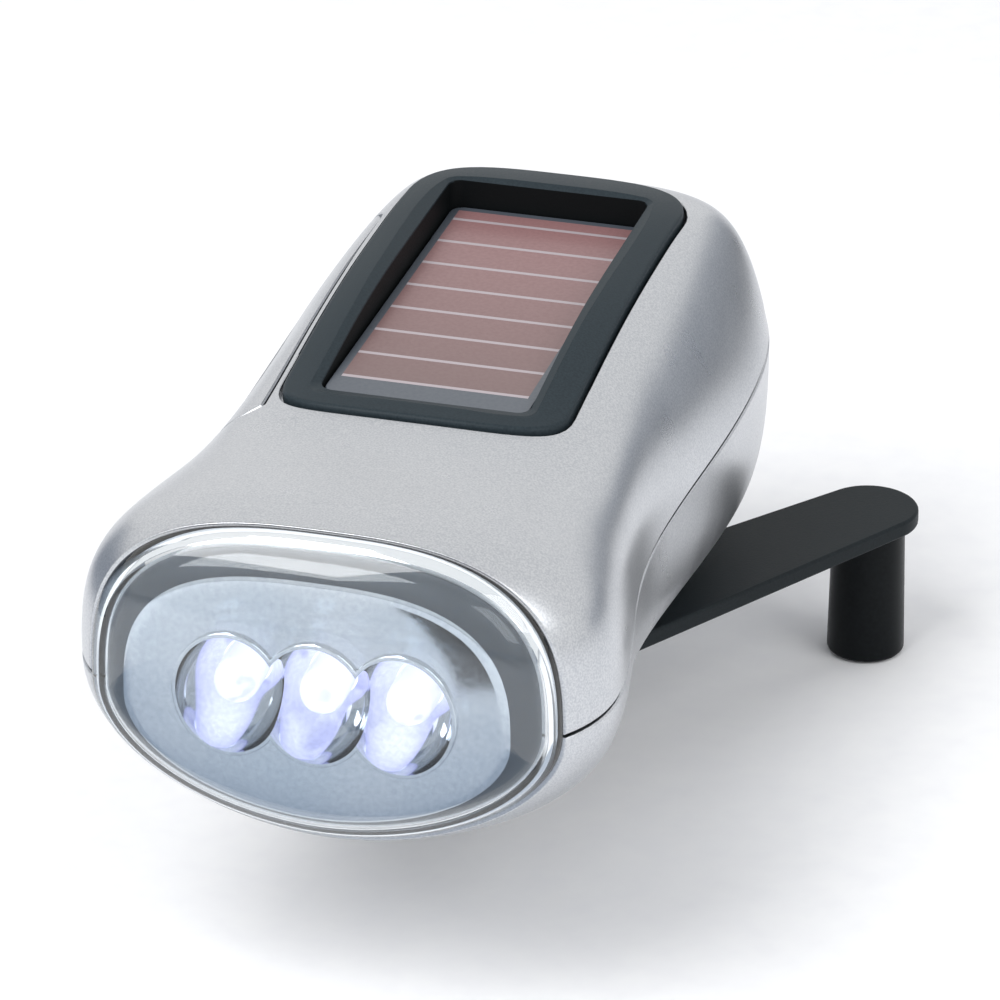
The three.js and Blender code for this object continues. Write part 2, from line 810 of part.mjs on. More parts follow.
// Sloping lip of the solar window: wider upwards, its level following the crown of the case
function windowFlare() {
  const corners = [];
  for (const [grow, rise] of [
    [0, 0],
    [lip_flare, lip_rise],
    [lip_flare, lip_rise + lip_depth + frame_proud],
  ]) {
    for (const { x, y } of window_shape(grow).getPoints(2)) {
      const level = crownAt(y) + frame_proud - lip_depth;
      corners.push(new THREE.Vector3(x, y, level + rise));
    }
  }
  return solid(new ConvexGeometry(corners));
}

function solarFrame() {
  const ring = cutFrom(
    plate(frameShape(0), shelf_top_z + fit_gap, cut_reach),
    plate(window_shape(0), 0, cut_reach + overrun),
    windowFlare(),
  );
  piece("solar_frame", ring.intersect(caseBody(-frame_proud, body_sides, body_rings)), black_plastic);
  piece("solar_panel", plate(window_shape(-fit_gap), panel_bottom_z, panel_top_z), cell_glass);
}

function sideKey(outer, inner) {
  const face = outer.subtract(inner).intersect(keyPrism(0));
  const stem = rodX(switch_y, switch_z, plunger_radius, stem_end_x - 2 * wall, stem_end_x, small_sides);
  piece("power_key", face.add(stem.intersect(midWall())), silver_paint);
  const plunger_x = stem_end_x + fit_gap;
  const plunger_end_x = plunger_x + plunger_length;
  const plunger = rodX(switch_y, switch_z, plunger_radius, plunger_x, plunger_end_x, small_sides);
  piece("switch_plunger", plunger, black_plastic);
  const body_x = plunger_x + key_press_gap + fit_gap;
  const body_z = board_top_z + fit_gap;
  const housing = block(
    body_x,
    body_x + switch_height,
    switch_y - switch_size / 2,
    switch_y + switch_size / 2,
    body_z,
    switch_z + switch_size / 2,
  );
  const bore = rodX(
    switch_y,
    switch_z,
    plunger_radius + fit_gap,
    body_x - overrun,
    plunger_end_x + key_press_gap + fit_gap,
    small_sides,
  );
  piece("switch_body", housing.subtract(bore), black_plastic);
}

function mainBoard() {
  const bottom = board_top_z - board_thickness;
  const slab = block(switch_foot_x, board_half_width, board_front_y, board_rear_y, bottom, board_top_z);
  const holes = board_post_ys.map((y) =>
    post(0, y, screw_radius + bearing_gap, bottom - overrun, board_top_z + overrun, small_sides),
  );
  piece("main_board", cutFrom(slab, ...holes), board_green);
  board_post_ys.forEach((y, i) => {
    const head_top = bottom - bearing_gap;
    const tip = board_top_z + small_screw_bite - fit_gap;
    const head = post(0, y, screw_head_radius, head_top - screw_head, head_top, small_sides);
    const shank = post(0, y, screw_radius, head_top - overrun, tip, small_sides);
    piece(`board_screw_${i + 1}`, head.add(shank), steel);
  });
  const capacitor = post(
    board_half_width / 2,
    capacitor_y,
    capacitor_radius,
    board_top_z + bearing_gap,
    board_top_z + capacitor_height,
  );
  piece("capacitor", capacitor, magnet_grey);
  const chip = block(
    -chip_width / 2,
    chip_width / 2,
    chip_y - chip_length / 2,
    chip_y + chip_length / 2,
    board_top_z + bearing_gap,
    board_top_z + bearing_gap + chip_thickness,
  );
  piece("control_chip", chip, black_plastic);
}

function leadTube(points) {
  const path = new THREE.CatmullRomCurve3(points);
  const section = new THREE.Shape();
  section.absarc(0, 0, lead_radius, 0, 2 * Math.PI, false);
  const tube = new THREE.ExtrudeGeometry(section, {
    steps: lead_steps,
    curveSegments: lead_segments,
    bevelEnabled: false,
    extrudePath: path,
  });
  return solid(tube);
}

// Leads from the LED board and the solar panel to the main board
function leads() {
  const board_edge_y = board_front_y - fit_gap - lead_radius;
  const low_z = board_top_z - board_thickness / 2;
  const colours = [red_cover, black_plastic];
  colours.forEach((colour, i) => {
    const x = (i - 0.5) * lead_spacing;
    const start_y = led_back_y + fit_gap;
    const rise = low_z - cup_z;
    const points = [
      new THREE.Vector3(x, start_y, cup_z),
      new THREE.Vector3(x, start_y + (board_edge_y - start_y) / 3, cup_z + rise / 4),
      new THREE.Vector3(x, start_y + ((board_edge_y - start_y) * 2) / 3, low_z),
      new THREE.Vector3(x, board_edge_y + lead_radius, low_z),
    ];
    piece(`led_lead_${i + 1}`, leadTube(points), colour);
    const y = board_rear_y - (board_rear_y - board_front_y) / 4;
    const up = [
      new THREE.Vector3(x * 2, y, board_top_z + fit_gap),
      new THREE.Vector3(x * 2 + lead_radius, y + lead_radius, (board_top_z + panel_bottom_z) / 2),
      new THREE.Vector3(x * 2, y, panel_bottom_z - fit_gap),
    ];
    piece(`solar_lead_${i + 1}`, leadTube(up), colour);
  });
}

function cells() {
  const stack = cell_count * cell_thickness;
  for (let i = 0; i < cell_count; i++) {
    const x0 = -stack / 2 + i * cell_thickness + bearing_gap;
    const x1 = x0 + cell_thickness - 2 * bearing_gap;
    piece(`cell_${i + 1}`, rodX(cell_y, cell_z, cell_radius, x0, x1), nickel);
  }
  const half = stack / 2 + fit_gap;
  const tub = cutFrom(
    rodX(cell_y, cell_z, holder_radius, -half - holder_wall, half + holder_wall),
    rodX(cell_y, cell_z, cell_radius + fit_gap, -half, half),
    block(-cut_reach, cut_reach, -cut_reach, cut_reach, cell_z, cut_reach),
    block(-cut_reach, cut_reach, -cut_reach, cut_reach, -cut_reach, wall + fit_gap),
  );
  piece("cell_holder", tub, black_plastic);
}

function gears() {
  const drive_angle = first_heading - crank.rotation.z;
  const drive = cutFrom(
    plate(gearShape(drive_teeth, first_tooth_size, drive_angle), drive_z, drive_top_z),
    block(
      -hub_square / 2 - bearing_gap,
      hub_square / 2 + bearing_gap,
      -hub_square / 2 - bearing_gap,
      hub_square / 2 + bearing_gap,
      0,
      cut_reach,
    ),
  );
  piece("drive_gear", drive, gear_white, crank);

  const compound = (name, place, pinion, wheel) => {
    const group = new THREE.Group();
    group.position.set(place.x, place.y, 0);
    assembly.add(group);
    const small = plate(gearShape(pinion_teeth, pinion.tooth, pinion.angle), pinion.z0, wheel.z1);
    const large = plate(gearShape(wheel_teeth, wheel.tooth, wheel.angle), wheel.z0, wheel.z1);
    const bore = post(0, 0, axle_radius + bearing_gap, 0, cut_reach, small_sides);
    piece(name, small.add(large).subtract(bore), gear_white, group);
  };
  compound(
    "gear_1",
    first_place,
    { tooth: first_tooth_size, angle: meshedTooth(first_heading, pinion_teeth), z0: drive_z },
    { tooth: second_tooth_size, angle: second_heading, z0: second_z, z1: second_top_z },
  );
  compound(
    "gear_2",
    second_place,
    { tooth: second_tooth_size, angle: meshedTooth(second_heading, pinion_teeth), z0: second_z },
    { tooth: third_tooth_size, angle: third_heading, z0: third_z, z1: third_top_z },
  );
  const axles = { gear_axle_1: first_place, gear_axle_2: second_place };
  for (const [name, { x, y }] of Object.entries(axles))
    piece(name, post(x, y, axle_radius, axle_foot_z, bracket_top_z, small_sides), steel);

  const rotor = new THREE.Group();
  rotor.position.set(rotor_place.x, rotor_place.y, 0);
  assembly.add(rotor);
  const pinion = gearShape(pinion_teeth, third_tooth_size, meshedTooth(third_heading, pinion_teeth));
  const magnet = join(
    post(0, 0, magnet_radius, magnet_z, magnet_top_z),
    post(0, 0, axle_radius, axle_foot_z, bracket_top_z, small_sides),
    plate(pinion, third_z, third_top_z),
    post(0, 0, axle_radius + layer_gap, magnet_top_z - overrun, third_z + overrun, small_sides),
  );
  piece("magnet_rotor", magnet, magnet_grey, rotor);
}

function generatorStator() {
  const { x, y } = rotor_place;
  const z0 = core_middle_z - core_thickness / 2;
  const z1 = core_middle_z + core_thickness / 2;
  const bore = magnet_radius + air_gap;
  const ring = post(x, y, bore + core_band, z0, z1);
  const half_band = core_band / 2;
  const arms = [-core_arm_offset, core_arm_offset].map((offset) =>
    block(core_bar_x - half_band, x, y + offset - half_band, y + offset + half_band, z0, z1),
  );
  const bar = block(
    core_bar_x - half_band,
    core_bar_x + half_band,
    y - core_arm_offset - half_band,
    y + core_arm_offset + half_band,
    z0,
    z1,
  );
  const half_slot = core_slot / 2;
  const slot = block(x - cut_reach, x + cut_reach, y - half_slot, y + half_slot, z0 - overrun, z1 + overrun);
  const slotted_ring = ring.subtract(slot.subtract(bar));
  const core = cutFrom(join(slotted_ring, ...arms, bar), post(x, y, bore, z0 - overrun, z1 + overrun));
  piece("stator_core", core, steel);
  const coil = cutFrom(
    rodY(core_bar_x, core_middle_z, coil_radius, y - coil_half_length, y + coil_half_length, round_sides),
    rodY(core_bar_x, core_middle_z, coil_bore_radius, -cut_reach, cut_reach, small_sides),
  );
  piece("stator_coil", coil, copper);
}

function gearBracket() {
  const corners = [];
  const supports = [...bracket_posts, first_place, second_place, rotor_place];
  for (const { x, y } of supports) {
    for (let i = 0; i < small_sides; i++) {
      const angle = (i / small_sides) * 2 * Math.PI;
      const px = x + bracket_margin * Math.cos(angle);
      const py = y + bracket_margin * Math.sin(angle);
      corners.push(new THREE.Vector3(px, py, bracket_z), new THREE.Vector3(px, py, bracket_top_z));
    }
  }
  const slab = solid(new ConvexGeometry(corners));
  const holes = supports.map(({ x, y }, i) => {
    const radius = i < bracket_posts.length ? screw_radius : axle_radius;
    return post(x, y, radius + bearing_gap, bracket_z - overrun, bracket_top_z + overrun, small_sides);
  });
  piece("gear_bracket", cutFrom(slab, ...holes), black_plastic);
  bracket_posts.forEach(({ x, y }, i) => {
    const seat = bracket_top_z + bearing_gap;
    const tip = bracket_z - small_screw_bite + fit_gap;
    const head = post(x, y, screw_head_radius, seat, seat + screw_head, small_sides);
    const shank = post(x, y, screw_radius, tip, seat + overrun, small_sides);
    piece(`bracket_screw_${i + 1}`, head.add(shank), steel);
  });
}

function caseScrews() {
  case_screws.forEach(({ x, y }, i) => {
    const seat = screw_sink - bearing_gap;
    const head = post(x, y, screw_head_radius, seat - screw_head, seat, small_sides);
    const shank = post(x, y, screw_radius, seat - overrun, seamAt(y) + screw_bite - fit_gap, small_sides);
    piece(`case_screw_${i + 1}`, head.add(shank), steel);
  });
}

function crankPieces() {
  // hub: disc in the well, fork ears below it, shaft with a square end for the drive gear
  const half_square = hub_square / 2;
  const ears = [-1, 1].map((side) => {
    const y0 = side > 0 ? fork_inner : -fork_inner - fork_ear;
    const y1 = y0 + fork_ear;
    return join(
      rodY(hinge_offset, hinge_z, ear_radius, y0, y1, small_sides),
      block(hinge_offset - ear_radius, hinge_offset + ear_radius, y0, y1, hinge_z, hub_bottom_z + overrun),
    );
  });
  const hub = join(
    post(0, 0, hub_radius, hub_bottom_z, hub_top_z),
    post(0, 0, hub_shaft_radius, hub_top_z - overrun, roof_top_z + bearing_gap),
    block(-half_square, half_square, -half_square, half_square, roof_top_z - overrun, drive_top_z),
    ...ears,
  );
  const pin_hole = rodY(hinge_offset, hinge_z, pin_radius + bearing_gap, -cut_reach, cut_reach, small_sides);
  const screw_hole = post(0, 0, screw_radius + bearing_gap, well_top_z, cut_reach, small_sides);
  piece("crank_hub", cutFrom(hub, pin_hole, screw_hole), black_plastic, crank);

  const hub_screw_seat = drive_top_z + bearing_gap;
  const washer = cutFrom(
    post(0, 0, hub_shaft_radius + overrun, hub_screw_seat, hub_screw_seat + overrun),
    post(0, 0, screw_radius + bearing_gap, 0, cut_reach, small_sides),
  );
  piece("hub_washer", washer, steel, crank);
  const head_z = hub_screw_seat + overrun + bearing_gap;
  const hub_screw = join(
    post(0, 0, screw_head_radius, head_z, head_z + screw_head, small_sides),
    post(0, 0, screw_radius, well_top_z + fit_gap, head_z + overrun, small_sides),
  );
  piece("hub_screw", hub_screw, steel, crank);

  // hinge pin across the fork
  const pin_half = fork_inner + fork_ear + bearing_gap;
  const pin = join(
    rodY(hinge_offset, hinge_z, pin_radius, -pin_half - pin_head, pin_half + pin_head, small_sides),
    rodY(hinge_offset, hinge_z, pin_radius + pin_head, pin_half, pin_half + pin_head, small_sides),
    rodY(hinge_offset, hinge_z, pin_radius + pin_head, -pin_half - pin_head, -pin_half, small_sides),
  );
  piece("hinge_pin", pin, steel, crank);

  // arm: knuckle on the pin, neck between the ears, tapered blade with a round tip
  const arm_low_z = arm_top_z - arm_thickness;
  const knuckle_half = fork_inner - fit_gap;
  const root_x = hinge_offset + arm_root_start;
  const blade_shape = new THREE.Shape();
  const slope = Math.asin((arm_root_half_width - arm_tip_radius) / (crank_radius - root_x));
  blade_shape.moveTo(root_x, arm_root_half_width);
  blade_shape.lineTo(root_x, -arm_root_half_width);
  blade_shape.absarc(crank_radius, 0, arm_tip_radius, slope - Math.PI / 2, Math.PI / 2 - slope, false);
  const neck = block(hinge_offset, root_x + overrun, -knuckle_half, knuckle_half, arm_low_z, arm_top_z);
  const arm = cutFrom(
    join(
      plate(blade_shape, arm_low_z, arm_top_z, round_sides),
      neck,
      rodY(hinge_offset, hinge_z, knuckle_radius, -knuckle_half, knuckle_half, small_sides),
    ),
    rodY(hinge_offset, hinge_z, pin_radius + bearing_gap, -cut_reach, cut_reach, small_sides),
    post(crank_radius, 0, rivet_radius + bearing_gap, -cut_reach, arm_top_z - arm_skin, small_sides),
  );
  piece("crank_arm", arm, black_plastic, crank);

  // knob on a rivet
  const knob_profile = [
    new THREE.Vector2(rivet_radius + knob_bore_gap, knob_top_z),
    new THREE.Vector2(rivet_radius + knob_bore_gap, knob_bottom_z + rivet_head + 2 * knob_gap),
    new THREE.Vector2(rivet_head_radius + knob_bore_gap, knob_bottom_z + rivet_head + 2 * knob_gap),
    new THREE.Vector2(rivet_head_radius + knob_bore_gap, knob_bottom_z),
    new THREE.Vector2(knob_bottom_radius - knob_chamfer, knob_bottom_z),
    new THREE.Vector2(knob_bottom_radius, knob_bottom_z + knob_chamfer),
    new THREE.Vector2(knob_top_radius, knob_top_z - knob_chamfer),
    new THREE.Vector2(knob_top_radius - knob_chamfer, knob_top_z),
    new THREE.Vector2(rivet_radius + knob_bore_gap, knob_top_z),
  ];
  const knob = new THREE.LatheGeometry(knob_profile, round_sides);
  knob.rotateX(Math.PI / 2).translate(crank_radius, 0, 0);
  piece("crank_knob", solid(knob), black_plastic, crank);
  const rivet_end = knob_bottom_z + knob_gap;
  const rivet = join(
    post(crank_radius, 0, rivet_radius, rivet_end, arm_top_z - arm_skin - bearing_gap, small_sides),
    post(crank_radius, 0, rivet_head_radius, rivet_end, rivet_end + rivet_head, small_sides),
  );
  piece("knob_rivet", rivet, steel, crank);
}

const { outer, inner } = caseShells();
noseCover();
reflectorTray(inner);
ledsAndBoard();
solarFrame();
sideKey(outer, inner);
mainBoard();
leads();
cells();
gears();
generatorStator();
gearBracket();
caseScrews();
crankPieces();

export default part;
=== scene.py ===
"""Looks of a hand crank flashlight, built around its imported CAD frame."""

import math

import bmesh
import bpy
from bpy.props import FloatProperty, FloatVectorProperty, PointerProperty
from mathutils import Matrix, Vector


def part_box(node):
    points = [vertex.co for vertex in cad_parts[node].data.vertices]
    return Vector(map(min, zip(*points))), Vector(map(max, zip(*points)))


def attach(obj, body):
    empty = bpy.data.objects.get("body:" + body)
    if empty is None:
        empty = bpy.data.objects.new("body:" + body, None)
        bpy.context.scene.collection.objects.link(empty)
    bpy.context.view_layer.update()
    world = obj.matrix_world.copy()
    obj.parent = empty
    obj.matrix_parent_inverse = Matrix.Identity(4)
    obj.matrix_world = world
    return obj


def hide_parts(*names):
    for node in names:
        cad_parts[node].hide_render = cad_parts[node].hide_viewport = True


bl_info = {
    "name": "Hand Crank Flashlight",
    "version": (1, 0, 0),
    "blender": (4, 5, 0),
    "location": "3D Viewport > Sidebar > Flashlight",
    "description": "Builds the case, nose, solar top and crank of a hand crank flashlight",
    "category": "Object",
}

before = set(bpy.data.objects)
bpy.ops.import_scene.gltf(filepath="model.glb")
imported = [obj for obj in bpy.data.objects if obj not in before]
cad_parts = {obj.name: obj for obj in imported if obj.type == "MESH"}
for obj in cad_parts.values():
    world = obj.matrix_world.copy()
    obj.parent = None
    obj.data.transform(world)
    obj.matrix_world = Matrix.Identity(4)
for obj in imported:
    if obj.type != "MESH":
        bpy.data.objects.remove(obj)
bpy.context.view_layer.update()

MM = 0.001
# The frame's origin lies this far behind the nose tip; the sizes below count from the nose tip.
REST = 30 * MM

# Gaps and lengths that several pieces share
PLAY = 0.15 * MM  # between a pin, shaft or screw and its hole
FIT = 0.3 * MM  # between pieces that are laid into each other
OVERRUN = MM  # how far a cutter runs past the skin
ABOVE = 60 * MM  # where cutters end over the case
HIGH_ABOVE = 80 * MM  # the same, for those that take a whole side of it
BELOW = -30 * MM  # where they end under it
THROUGH = 30 * MM  # half length of the cutters that run right through a small piece
SIDES = (-1, 1)
CUPS = (-1, 0, 1)  # the three cups and their LEDs, counted from the middle one

# Distances under which points are one, in metres
MERGE = 1e-6
LOFT_MERGE = 2e-6


# ---------------------------------------------------------------- sizes and colours


def linear(hex_text):
    """An sRGB hex colour as the linear colour that shaders take."""
    values = []
    for i in (1, 3, 5):
        c = int(hex_text[i : i + 2], 16) / 255
        values.append(c / 12.92 if c <= 0.04045 else ((c + 0.055) / 1.055) ** 2.4)
    return (*values, 1.0)


def length(name, description, default_mm):
    """A size that is shown in the file's units and given in millimetres."""
    return FloatProperty(name=name, description=description, default=default_mm * MM, unit="LENGTH", precision=5)


def colour(name, description, default_hex):
    """A colour that is given as an sRGB hex value."""
    return FloatVectorProperty(
        name=name, description=description, default=linear(default_hex), size=4, subtype="COLOR", min=0, max=1
    )


class CaseSizes(bpy.types.PropertyGroup):
    """The case's form. Places along the case count from the nose tip, heights from its flat underside."""

    body_length: length("Body length", "Nose tip to rear end", 115.77)
    nose_half_width: length("Nose half width", "Half width behind the nose", 30.25)
    nose_wide_y: length("Nose width place", "Where the nose is widest", 16.3)
    waist_half_width: length("Waist half width", "Half width at the waist", 25.28)
    waist_y: length("Waist place", "Where the waist is narrowest", 46)
    rear_half_width: length("Rear half width", "Half width of the grip", 29.1)
    rear_wide_y: length("Rear width place", "Where the grip is widest", 92)
    nose_crown_z: length("Nose crown height", "Height of the top over the nose", 38.1)
    nose_crown_y: length("Nose crown place", "Where the nose crown lies", 18)
    neck_crown_z: length("Neck crown height", "Height of the top at the neck", 35.6)
    neck_crown_y: length("Neck crown place", "Where the neck lies", 31)
    rear_crown_z: length("Rear crown height", "Height of the top over the grip", 39.8)
    rear_crown_y: length("Rear crown place", "Where the top reaches its full height", 70)
    seam_front_z: length("Seam height", "Height of the parting seam at the nose tip", 17)
    seam_rise: FloatProperty(name="Seam rise", description="Rise of the seam for each unit of length", default=0.05)
    nose_round: length("Nose rounding", "Length of the rounded nose", 21)
    nose_top_round: length("Nose top rounding", "Length of the nose's rounded top edge", 8)
    rear_round: length("Rear rounding", "Length of the rounded rear end", 31.9)
    shoulder_y: length("Shoulder place", "Where the sloping shoulders reach least", 65.7)
    shoulder_reach: length("Shoulder reach", "Reach of the sloping shoulders there", 25.53)
    shoulder_front_bow: length("Shoulder front bow", "Growth of that reach over the first 10 mm forwards", 0.493)
    shoulder_rear_bow: length("Shoulder rear bow", "Growth of that reach over the first 10 mm rearwards", -0.133)
    chin_power: FloatProperty(name="Chin curve", description="Power of the lower curve at the nose", default=1.8)
    grip_low_power: FloatProperty(name="Grip curve", description="Power of the lower curve at the grip", default=3.37)
    chin_y: length("Chin length", "Where the lower curve reaches the grip's power", 49.6)
    belly_drop: length("Belly drop", "How far the form would reach below the flat underside", 1.2)
    wall: length("Wall", "Wall thickness of the shells", 2.2)
    seam_gap: length("Seam gap", "Gap of the parting seam", 0.3)
    mouth_y: length("Mouth place", "Front rim of the shells, where the cover sits", 8)
    edge_break: length("Edge break", "Small bevel along the rims of the shells", 0.22)


class KeySizes(bpy.types.PropertyGroup):
    """The long key on the left flank."""

    front_y: length("Key front", "Front end of the key", 41.5)
    rear_y: length("Key rear", "Rear end of the key", 91.5)
    pivot_x: length("Key upper edge", "Distance of the key's upper edge from the middle", 17.9)
    pivot_z: length("Key pivot height", "Height of the tilted outline's origin", 34.8)
    tilt_deg: FloatProperty(name="Key tilt", description="Tilt of the outline, in degrees", default=41)
    height: length("Key height", "Height of the key along its tilt, below the origin", 12.6)
    rise: length("Key rise", "Height of the key along its tilt, above the origin", 2)
    corner: length("Key corner", "Corner radius of the key", 5)
    gap: length("Key gap", "Gap round the key", 0.4)
    edge_break: length("Key edge break", "Small bevel round the key's opening", 0.1)


class NoseSizes(bpy.types.PropertyGroup):
    """Clear cover, reflector and LEDs."""

    cover_front_y: length("Cover front", "Front of the clear cover", 0.7)
    cover_wall: length("Cover wall", "Wall thickness of the clear cover", 1.5)
    cover_step: length("Cover step", "How far the cover lies inside the shells' rim", 0.35)
    cover_low_step: length("Cover low step", "The same, underneath", 1.0)
    cover_gap: length("Cover gap", "Gap between cover and shells", 0.3)
    face_y: length("Reflector face", "Flat front face of the reflector", 4.2)
    back_y: length("Reflector back", "Rear of the reflector", 14.5)
    cup_pitch: length("Cup pitch", "Spacing of the three cups", 9.4)
    cup_half_width: length("Cup half width", "Half width of a cup", 5.8)
    cup_half_height: length("Cup half height", "Half height of a cup", 6.7)
    cup_depth: length("Cup depth", "Depth of a cup", 7.6)
    cup_z: length("Cup height", "Height of the cups' middle", 19.5)
    rim: length("Cup rim", "Width of the raised rim round the cups", 0.45)
    led_radius: length("LED radius", "Radius of an LED dome", 2.5)
    led_flange_radius: length("LED flange radius", "Radius of an LED's foot ring", 2.9)
    led_length: length("LED length", "Foot to tip", 8.6)
    led_base_y: length("LED foot place", "Where the feet of the LEDs stand", 13.5)


class SolarSizes(bpy.types.PropertyGroup):
    """Solar bezel and cell."""

    front_y: length("Bezel front", "Front end of the bezel", 39.4)
    rear_y: length("Bezel rear", "Rear end of the bezel", 103.6)
    half_width: length("Bezel half width", "Half width of the bezel", 16.4)
    front_corner: length("Bezel front bow", "Length of the bowed front", 7)
    rear_corner: length("Bezel rear bow", "Length of the bowed rear", 10)
    proud: length("Bezel height", "How far the bezel stands above the shell", 0.5)
    gap: length("Bezel gap", "Gap round the bezel", 0.35)
    edge: length("Bezel edge", "Rounding of the bezel's outer edge", 0.55)
    window_front_y: length("Window front", "Front edge of the window", 44.4)
    window_rear_y: length("Window rear", "Rear edge of the window", 96.9)
    window_half_width: length("Window half width", "Half width of the window", 12)
    window_corner: length("Window corner", "Corner radius of the window", 1.5)
    lip_flare: length("Lip flare", "Width of the sloping lip", 2.2)
    lip_rise: length("Lip rise", "Height of the sloping lip", 0.9)
    lip_depth: length("Lip depth", "Depth of the lip's foot below the bezel's crown", 1.1)
    panel_top_z: length("Cell top", "Top of the cell plate", 35.9)
    panel_thickness: length("Cell thickness", "Thickness of the cell plate", 1.3)
    first_line_y: length("First cell line", "Front contact line of the cell", 49.15)
    line_pitch: length("Cell line pitch", "Spacing of the cell's lines", 6.28)
    line_width: length("Cell line width", "Width of a cell line", 0.62)
    cell_half_width: length("Cell half width", "Half width of the active cell", 10.75)
    cell_rear_y: length("Cell rear", "Rear end of the active cell", 95.6)


class CrankSizes(bpy.types.PropertyGroup):
    """Hub, fork, arm and knob. Places along the arm count from the crank's axis."""

    axis_y: length("Crank axis", "Place of the crank's axis behind the nose tip", 52)
    rest_deg: FloatProperty(name="Crank angle", description="Where the arm points at rest, in degrees", default=55)
    hub_radius: length("Hub radius", "Radius of the hub disc", 13)
    hub_recess: length("Hub recess", "How far the hub lies inside its well", 0.6)
    hub_thickness: length("Hub thickness", "Thickness of the hub disc", 2.4)
    well_gap: length("Well gap", "Gap round the hub", 0.5)
    shaft_radius: length("Shaft radius", "Radius of the hub's shaft", 4)
    hinge_x: length("Hinge place", "Distance of the arm's hinge from the crank's axis", 4)
    hinge_z: length("Hinge height", "Height of the arm's hinge", -2)
    fork_inner: length("Fork inside", "Half width between the fork's ears", 7.8)
    fork_ear: length("Ear thickness", "Thickness of an ear", 2.4)
    ear_radius: length("Ear radius", "Radius of an ear's end", 2.4)
    knuckle_radius: length("Knuckle radius", "Radius of the arm's knuckle", 2.1)
    pin_radius: length("Pin radius", "Radius of the hinge pin", 0.9)
    radius: length("Crank radius", "Distance of the knob from the crank's axis", 65)
    arm_top_z: length("Arm top", "Height of the arm's top face", -1)
    arm_thickness: length("Arm thickness", "Thickness of the arm", 2)
    arm_start: length("Arm start", "Distance of the blade's root from the axis", 7.4)
    arm_root_half: length("Arm root half width", "Half width of the blade at its root", 8.9)
    arm_tip_radius: length("Arm tip radius", "Radius of the blade's round tip", 5.9)
    arm_edge: length("Arm edge", "Rounding of the blade's edges", 0.4)
    knob_length: length("Knob length", "Length of the knob", 16.4)
    knob_top_radius: length("Knob top radius", "Radius at the arm", 4.35)
    knob_low_radius: length("Knob low radius", "Radius at the free end", 4.65)
    knob_gap: length("Knob gap", "Gap between arm and knob", 0.4)
    knob_edge: length("Knob edge", "Rounding of the knob's edges", 0.7)
    rivet_radius: length("Rivet radius", "Radius of the knob's rivet", 1.5)
    rivet_head_radius: length("Rivet head radius", "Radius of the rivet's head", 2.7)
    pocket_y: length("Pocket place", "Place of the pocket that takes the folded knob", 109)
    pocket_radius: length("Pocket radius", "Radius of the pocket", 5.55)
    pocket_top_z: length("Pocket top", "Depth of the pocket", 16.7)


class ScrewSizes(bpy.types.PropertyGroup):
    """Case screws and their head rooms."""

    front_x: length("Front screw offset", "Front screws from the middle", 17)
    front_y: length("Front screw place", "Front screws behind the nose tip", 24)
    rear_x: length("Rear screw offset", "Rear screws from the middle", 13)
    rear_y: length("Rear screw place", "Rear screws behind the nose tip", 105.4)
    head_radius: length("Head radius", "Radius of a screw head", 2.3)
    head_height: length("Head height", "Height of a screw head", 1.6)
    shank_radius: length("Shank radius", "Radius over the thread", 1.2)
    room_radius: length("Head room radius", "Radius of the hole that takes a head", 2.7)
    sink: length("Head room depth", "Depth of the hole that takes a head", 9)
    bite: length("Bite", "How far a screw reaches above the seam", 7)


class Looks(bpy.types.PropertyGroup):
    """Colours of the finishes."""

    silver: colour("Silver", "Silver paint of the shells", "#cacccf")
    silver_shade: colour("Silver shade", "Darker flakes of the silver paint", "#b6b9be")
    bezel: colour("Bezel", "Solar bezel", "#2c353a")
    bezel_shade: colour("Bezel shade", "Grain of the solar bezel", "#232b30")
    arm: colour("Arm", "Crank arm", "#1f2528")
    arm_shade: colour("Arm shade", "Grain of the crank arm", "#181d20")
    knob: colour("Knob", "Crank knob", "#101416")
    knob_shade: colour("Knob shade", "Grain of the knob", "#0b0e10")
    cell: colour("Cell", "Front of the solar cell", "#6f5856")
    cell_rear: colour("Cell rear", "Rear of the solar cell", "#8f6a6a")
    cell_line: colour("Cell lines", "Contact lines of the solar cell", "#a89da1")
    cell_border: colour("Cell border", "Bare plate round the cell", "#4b5159")
    # painted shade: the wall round the cell is drawn near black, far darker than the bezel, for the shade in the
    # window's recess
    window_wall_shade: colour("Window wall", "Shaded wall round the cell", "#0c0f10")
    cover: colour("Cover", "Tint of the clear cover", "#e6edf2")
    mirror: colour("Reflector", "Metal film of the reflector", "#dcdfe3")
    # painted shade: the reflector's side is drawn dark blue grey for the dark band seen through the clear cover
    tray_side_shade: colour("Reflector side", "Bare side of the reflector", "#48535f")
    glow_edge: colour("Glow edge", "Rim of a lit LED", "#8a88d8")
    glow: FloatProperty(name="Glow", description="Strength of the lit LEDs", default=1.3)


class StageSizes(bpy.types.PropertyGroup):
    """Floor, lamps and camera."""

    floor_z: length("Floor height", "Height of the floor", -20)
    distance: length("Camera distance", "Camera to the point it looks at", 720.08)
    azimuth: FloatProperty(name="Azimuth", description="Camera turned about the object, in degrees", default=16.41)
    elevation: FloatProperty(name="Elevation", description="Camera above the horizon, in degrees", default=26.59)
    lens: FloatProperty(name="Lens", description="Focal length on a 36 mm sensor", default=230.44, unit="CAMERA")
    key_light: FloatProperty(name="Key light", description="Strength of the large lamp", default=7.0, unit="POWER")
    fill_light: FloatProperty(name="Fill light", description="Strength of the small lamp", default=2.0, unit="POWER")
    ambient: FloatProperty(name="Ambient", description="Strength of the room's light", default=0.62)


GROUPS = {
    "flashlight_case": CaseSizes,
    "flashlight_key": KeySizes,
    "flashlight_nose": NoseSizes,
    "flashlight_solar": SolarSizes,
    "flashlight_crank": CrankSizes,
    "flashlight_screws": ScrewSizes,
    "flashlight_looks": Looks,
    "flashlight_stage": StageSizes,
}


# ---------------------------------------------------------------- shader nodes


